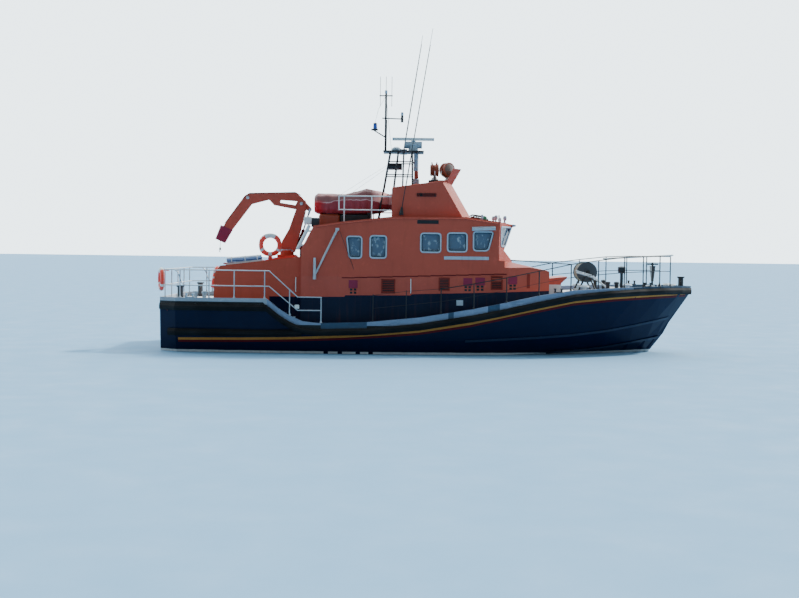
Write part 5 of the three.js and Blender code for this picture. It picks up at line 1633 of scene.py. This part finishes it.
@piece("dark_metal", smooth=60)
def mast_wires(shape):
    """Stays, cables and the dark cases among the mast's legs."""
    for side in SIDES:
        shape.tube([(-1.58, side * 0.06, 8.2), (-1.5, side * 0.2, 7.4), (-1.40, side * 0.38, 6.55)], 0.006, 5)
        shape.tube([(-1.56, side * 0.03, 7.55), (-1.57, side * 0.03, 6.55)], 0.009, 5)
        shape.slab((-1.52, side * 0.30 - 0.05, 5.93), (-1.04, side * 0.30 + 0.05, 6.08), 0.01)
    shape.tube([(-2.0, 0, 7.25), (-1.85, 0, 7.9), (-1.62, 0, 8.33)], 0.005, 5)


@piece("band_paint", smooth=40)
def mast_lamps(shape):
    """Lamps on the mast, the post under the radar and the aerial dome."""
    for x, z in [(-1.60, 8.42), (-1.06, 7.70)]:
        shape.turned(MAST_LAMP, (x, 0, z), UP, 12)
    shape.turned(RADAR_POST, (-0.58, 0.0, 5.88), UP, 18)
    shape.slab((-0.68, -0.09, 5.42), (-0.47, 0.09, 5.62), 0.015)
    shape.turned(DOME, (-1.24, 0.25, 6.52), UP, 20)


@piece("house_paint", smooth=40)
def mast_junction_box(shape):
    shape.slab((-0.64, -0.075, 5.62), (-0.50, 0.075, 5.88), 0.02)


@piece("band_paint", "radar_scanner")
def scanner_ends(shape):
    for end in (SCANNER_X - SCANNER_HALF, SCANNER_X + SCANNER_HALF):
        shape.slab((end - 0.035, -0.062, 6.883), (end + 0.03, 0.062, 6.977), 0.015)


@piece("dark_metal", smooth=60)
def pole_lanyard(shape):
    """The lanyard of the recovery pole and two aerial stays."""
    for side in SIDES:
        shape.tube([(-3.05, side * 1.35, 4.98), (-1.42, side * 0.5, 6.1)], 0.004, 5)
    shape.tube([(-3.02, -1.96, 3.92), (-2.78, -1.965, 3.3), (-2.52, -1.99, 2.62)], 0.007, 5)


# Casing, and the tube on the slope forward of it

CASING_TOP = [(-6.78, 2.69), (-4.22, 3.01)]
CASING_HATCHES = (-6.5, -5.7)
NET_LASHINGS = (-6.46, -6.03, -5.64)
NET_TRAY = [(-6.62, 2.70), (-5.48, 2.845)]
NET_TRAY_Y = (-1.66, -1.42)
FAIRING_TOP = [(-5.58, 2.845), (-5.10, 2.955), (-4.62, 3.03), (-4.50, 3.03)]
SLOPE_TUBE = (Vector((-4.335, -1.75, 3.24)), Vector((-3.955, -1.75, 4.02)))


@piece("house_paint", smooth=40)
def casing_hatches(shape):
    for x in CASING_HATCHES:
        z = height_on(CASING_TOP, x)
        shape.slab((x - 0.3, -1.0, z), (x + 0.3, -0.4, z + 0.05), 0.015)
        shape.turned([(0.05, 0), (0.05, 0.02), (0.02, 0.03)], (x, -0.7, z + 0.05), UP, 14)


@piece("white_paint", smooth=60)
def casing_handles(shape):
    for x in CASING_HATCHES:
        z = 2.8 + 0.125 * (x - CASING_HATCHES[0])
        line = [(x - 0.1, z), (x - 0.1, z + 0.06), (x + 0.1, z + 0.08), (x + 0.1, z)]
        shape.tube([(x, -0.5, z) for x, z in line], 0.008, 6)


@piece("white_paint")
def net_lashings(shape):
    for x in NET_LASHINGS:
        spot = (x, -1.53, height_on(NET_LINE, x) + 0.004)
        shape.turned([(0.096, 0), (0.101, 0.01), (0.101, 0.02), (0.096, 0.03)], spot, (1, 0, 0.09), 16)


@piece("white_paint")
def net_tray(shape):
    out, near = NET_TRAY_Y
    shape.skin([
        [(x, out, z), (x, near, z), (x, near, z + 0.055), (x, out, z + 0.055)] for x, z in NET_TRAY
    ])


# painted highlight: bright buoy red stands for the fairing's sunlit top
@piece("buoy_plastic")
def crane_fairing(shape):
    """The low fairing round the crane's plinth, in bright buoy red as a painted highlight of its sunlit top.
    """
    shape.skin([[(x, -1.12, 2.72), (x, 0.42, 2.72), (x, 0.40, z), (x, -1.10, z)] for x, z in FAIRING_TOP])


@piece("maroon_paint", smooth=40)
def valve_chest(shape):
    shape.slab((-4.43, 0.23, 2.90), (-4.25, 0.53, 3.36), 0.03)


@piece("white_paint", smooth=40)
def stowed_tube(shape):
    """A white tube in two clips on the slope at the aft end of the wheelhouse."""
    low, high = SLOPE_TUBE
    way = (high - low).normalized()
    outline = [(0.0, 0), (0.050, 0.004), (0.055, 0.02), (0.055, 0.84), (0.050, 0.86), (0.0, 0.865)]
    shape.turned(outline, low, way, 16)
    for along in (0.15, 0.65):
        spot = low + along * way
        shape.slab(spot + Vector((0, -0.05, -0.03)), spot + Vector((0.14, 0.05, 0.03)), 0.008)


# Underwater: anodes on the hull and the nuts behind the propellers

ANODES_X = (-6.4, -5.2, -3.6, 1.5)
ANODE_Y = 0.42
SHAFT_WAY = Vector((0.99106, 0, 0.13341))
PROPELLER_CONES = [("propeller_port", 1.1), ("propeller_starboard", -1.1)]


@piece("rail_metal")
def hull_anodes(shape):
    for x in ANODES_X:
        z = TREES["hull"].ray_cast(Vector((x, ANODE_Y, -4)), Vector(UP))[0].z
        shape.slab((x - 0.15, ANODE_Y - 0.05, z - 0.035), (x + 0.15, ANODE_Y + 0.05, z + 0.03), 0.015)
    shape.mirror()


def add_propeller_cones():
    outline = [(0.085, 0.0), (0.08, -0.03), (0.055, -0.10), (0.03, -0.14), (0.0, -0.15)]
    for body, y in PROPELLER_CONES:
        cone = Shape()
        cone.turned(outline, Vector((-7.2, y, -0.95)) - 0.13 * SHAFT_WAY, SHAFT_WAY, 16)
        cone.make(body + "_cone", "bronze", body, smooth=50)


add_propeller_cones()


# Floor at the waterline

FLOOR_HALF = 400
FLOOR_BLUE = 0x7ba8ca


def add_floor():
    corners = [(x * FLOOR_HALF, y * FLOOR_HALF, 0) for x, y in [(-1, -1), (1, -1), (1, 1), (-1, 1)]]
    mesh = bpy.data.meshes.new("floor")
    mesh.from_pydata(corners, [], [(0, 1, 2, 3)])
    floor = bpy.data.objects.new("floor", mesh)
    bpy.context.scene.collection.objects.link(floor)
    mesh.materials.append(finish("floor", FLOOR_BLUE, 0.8, mottle=0.03, gloss=0.2))


add_floor()
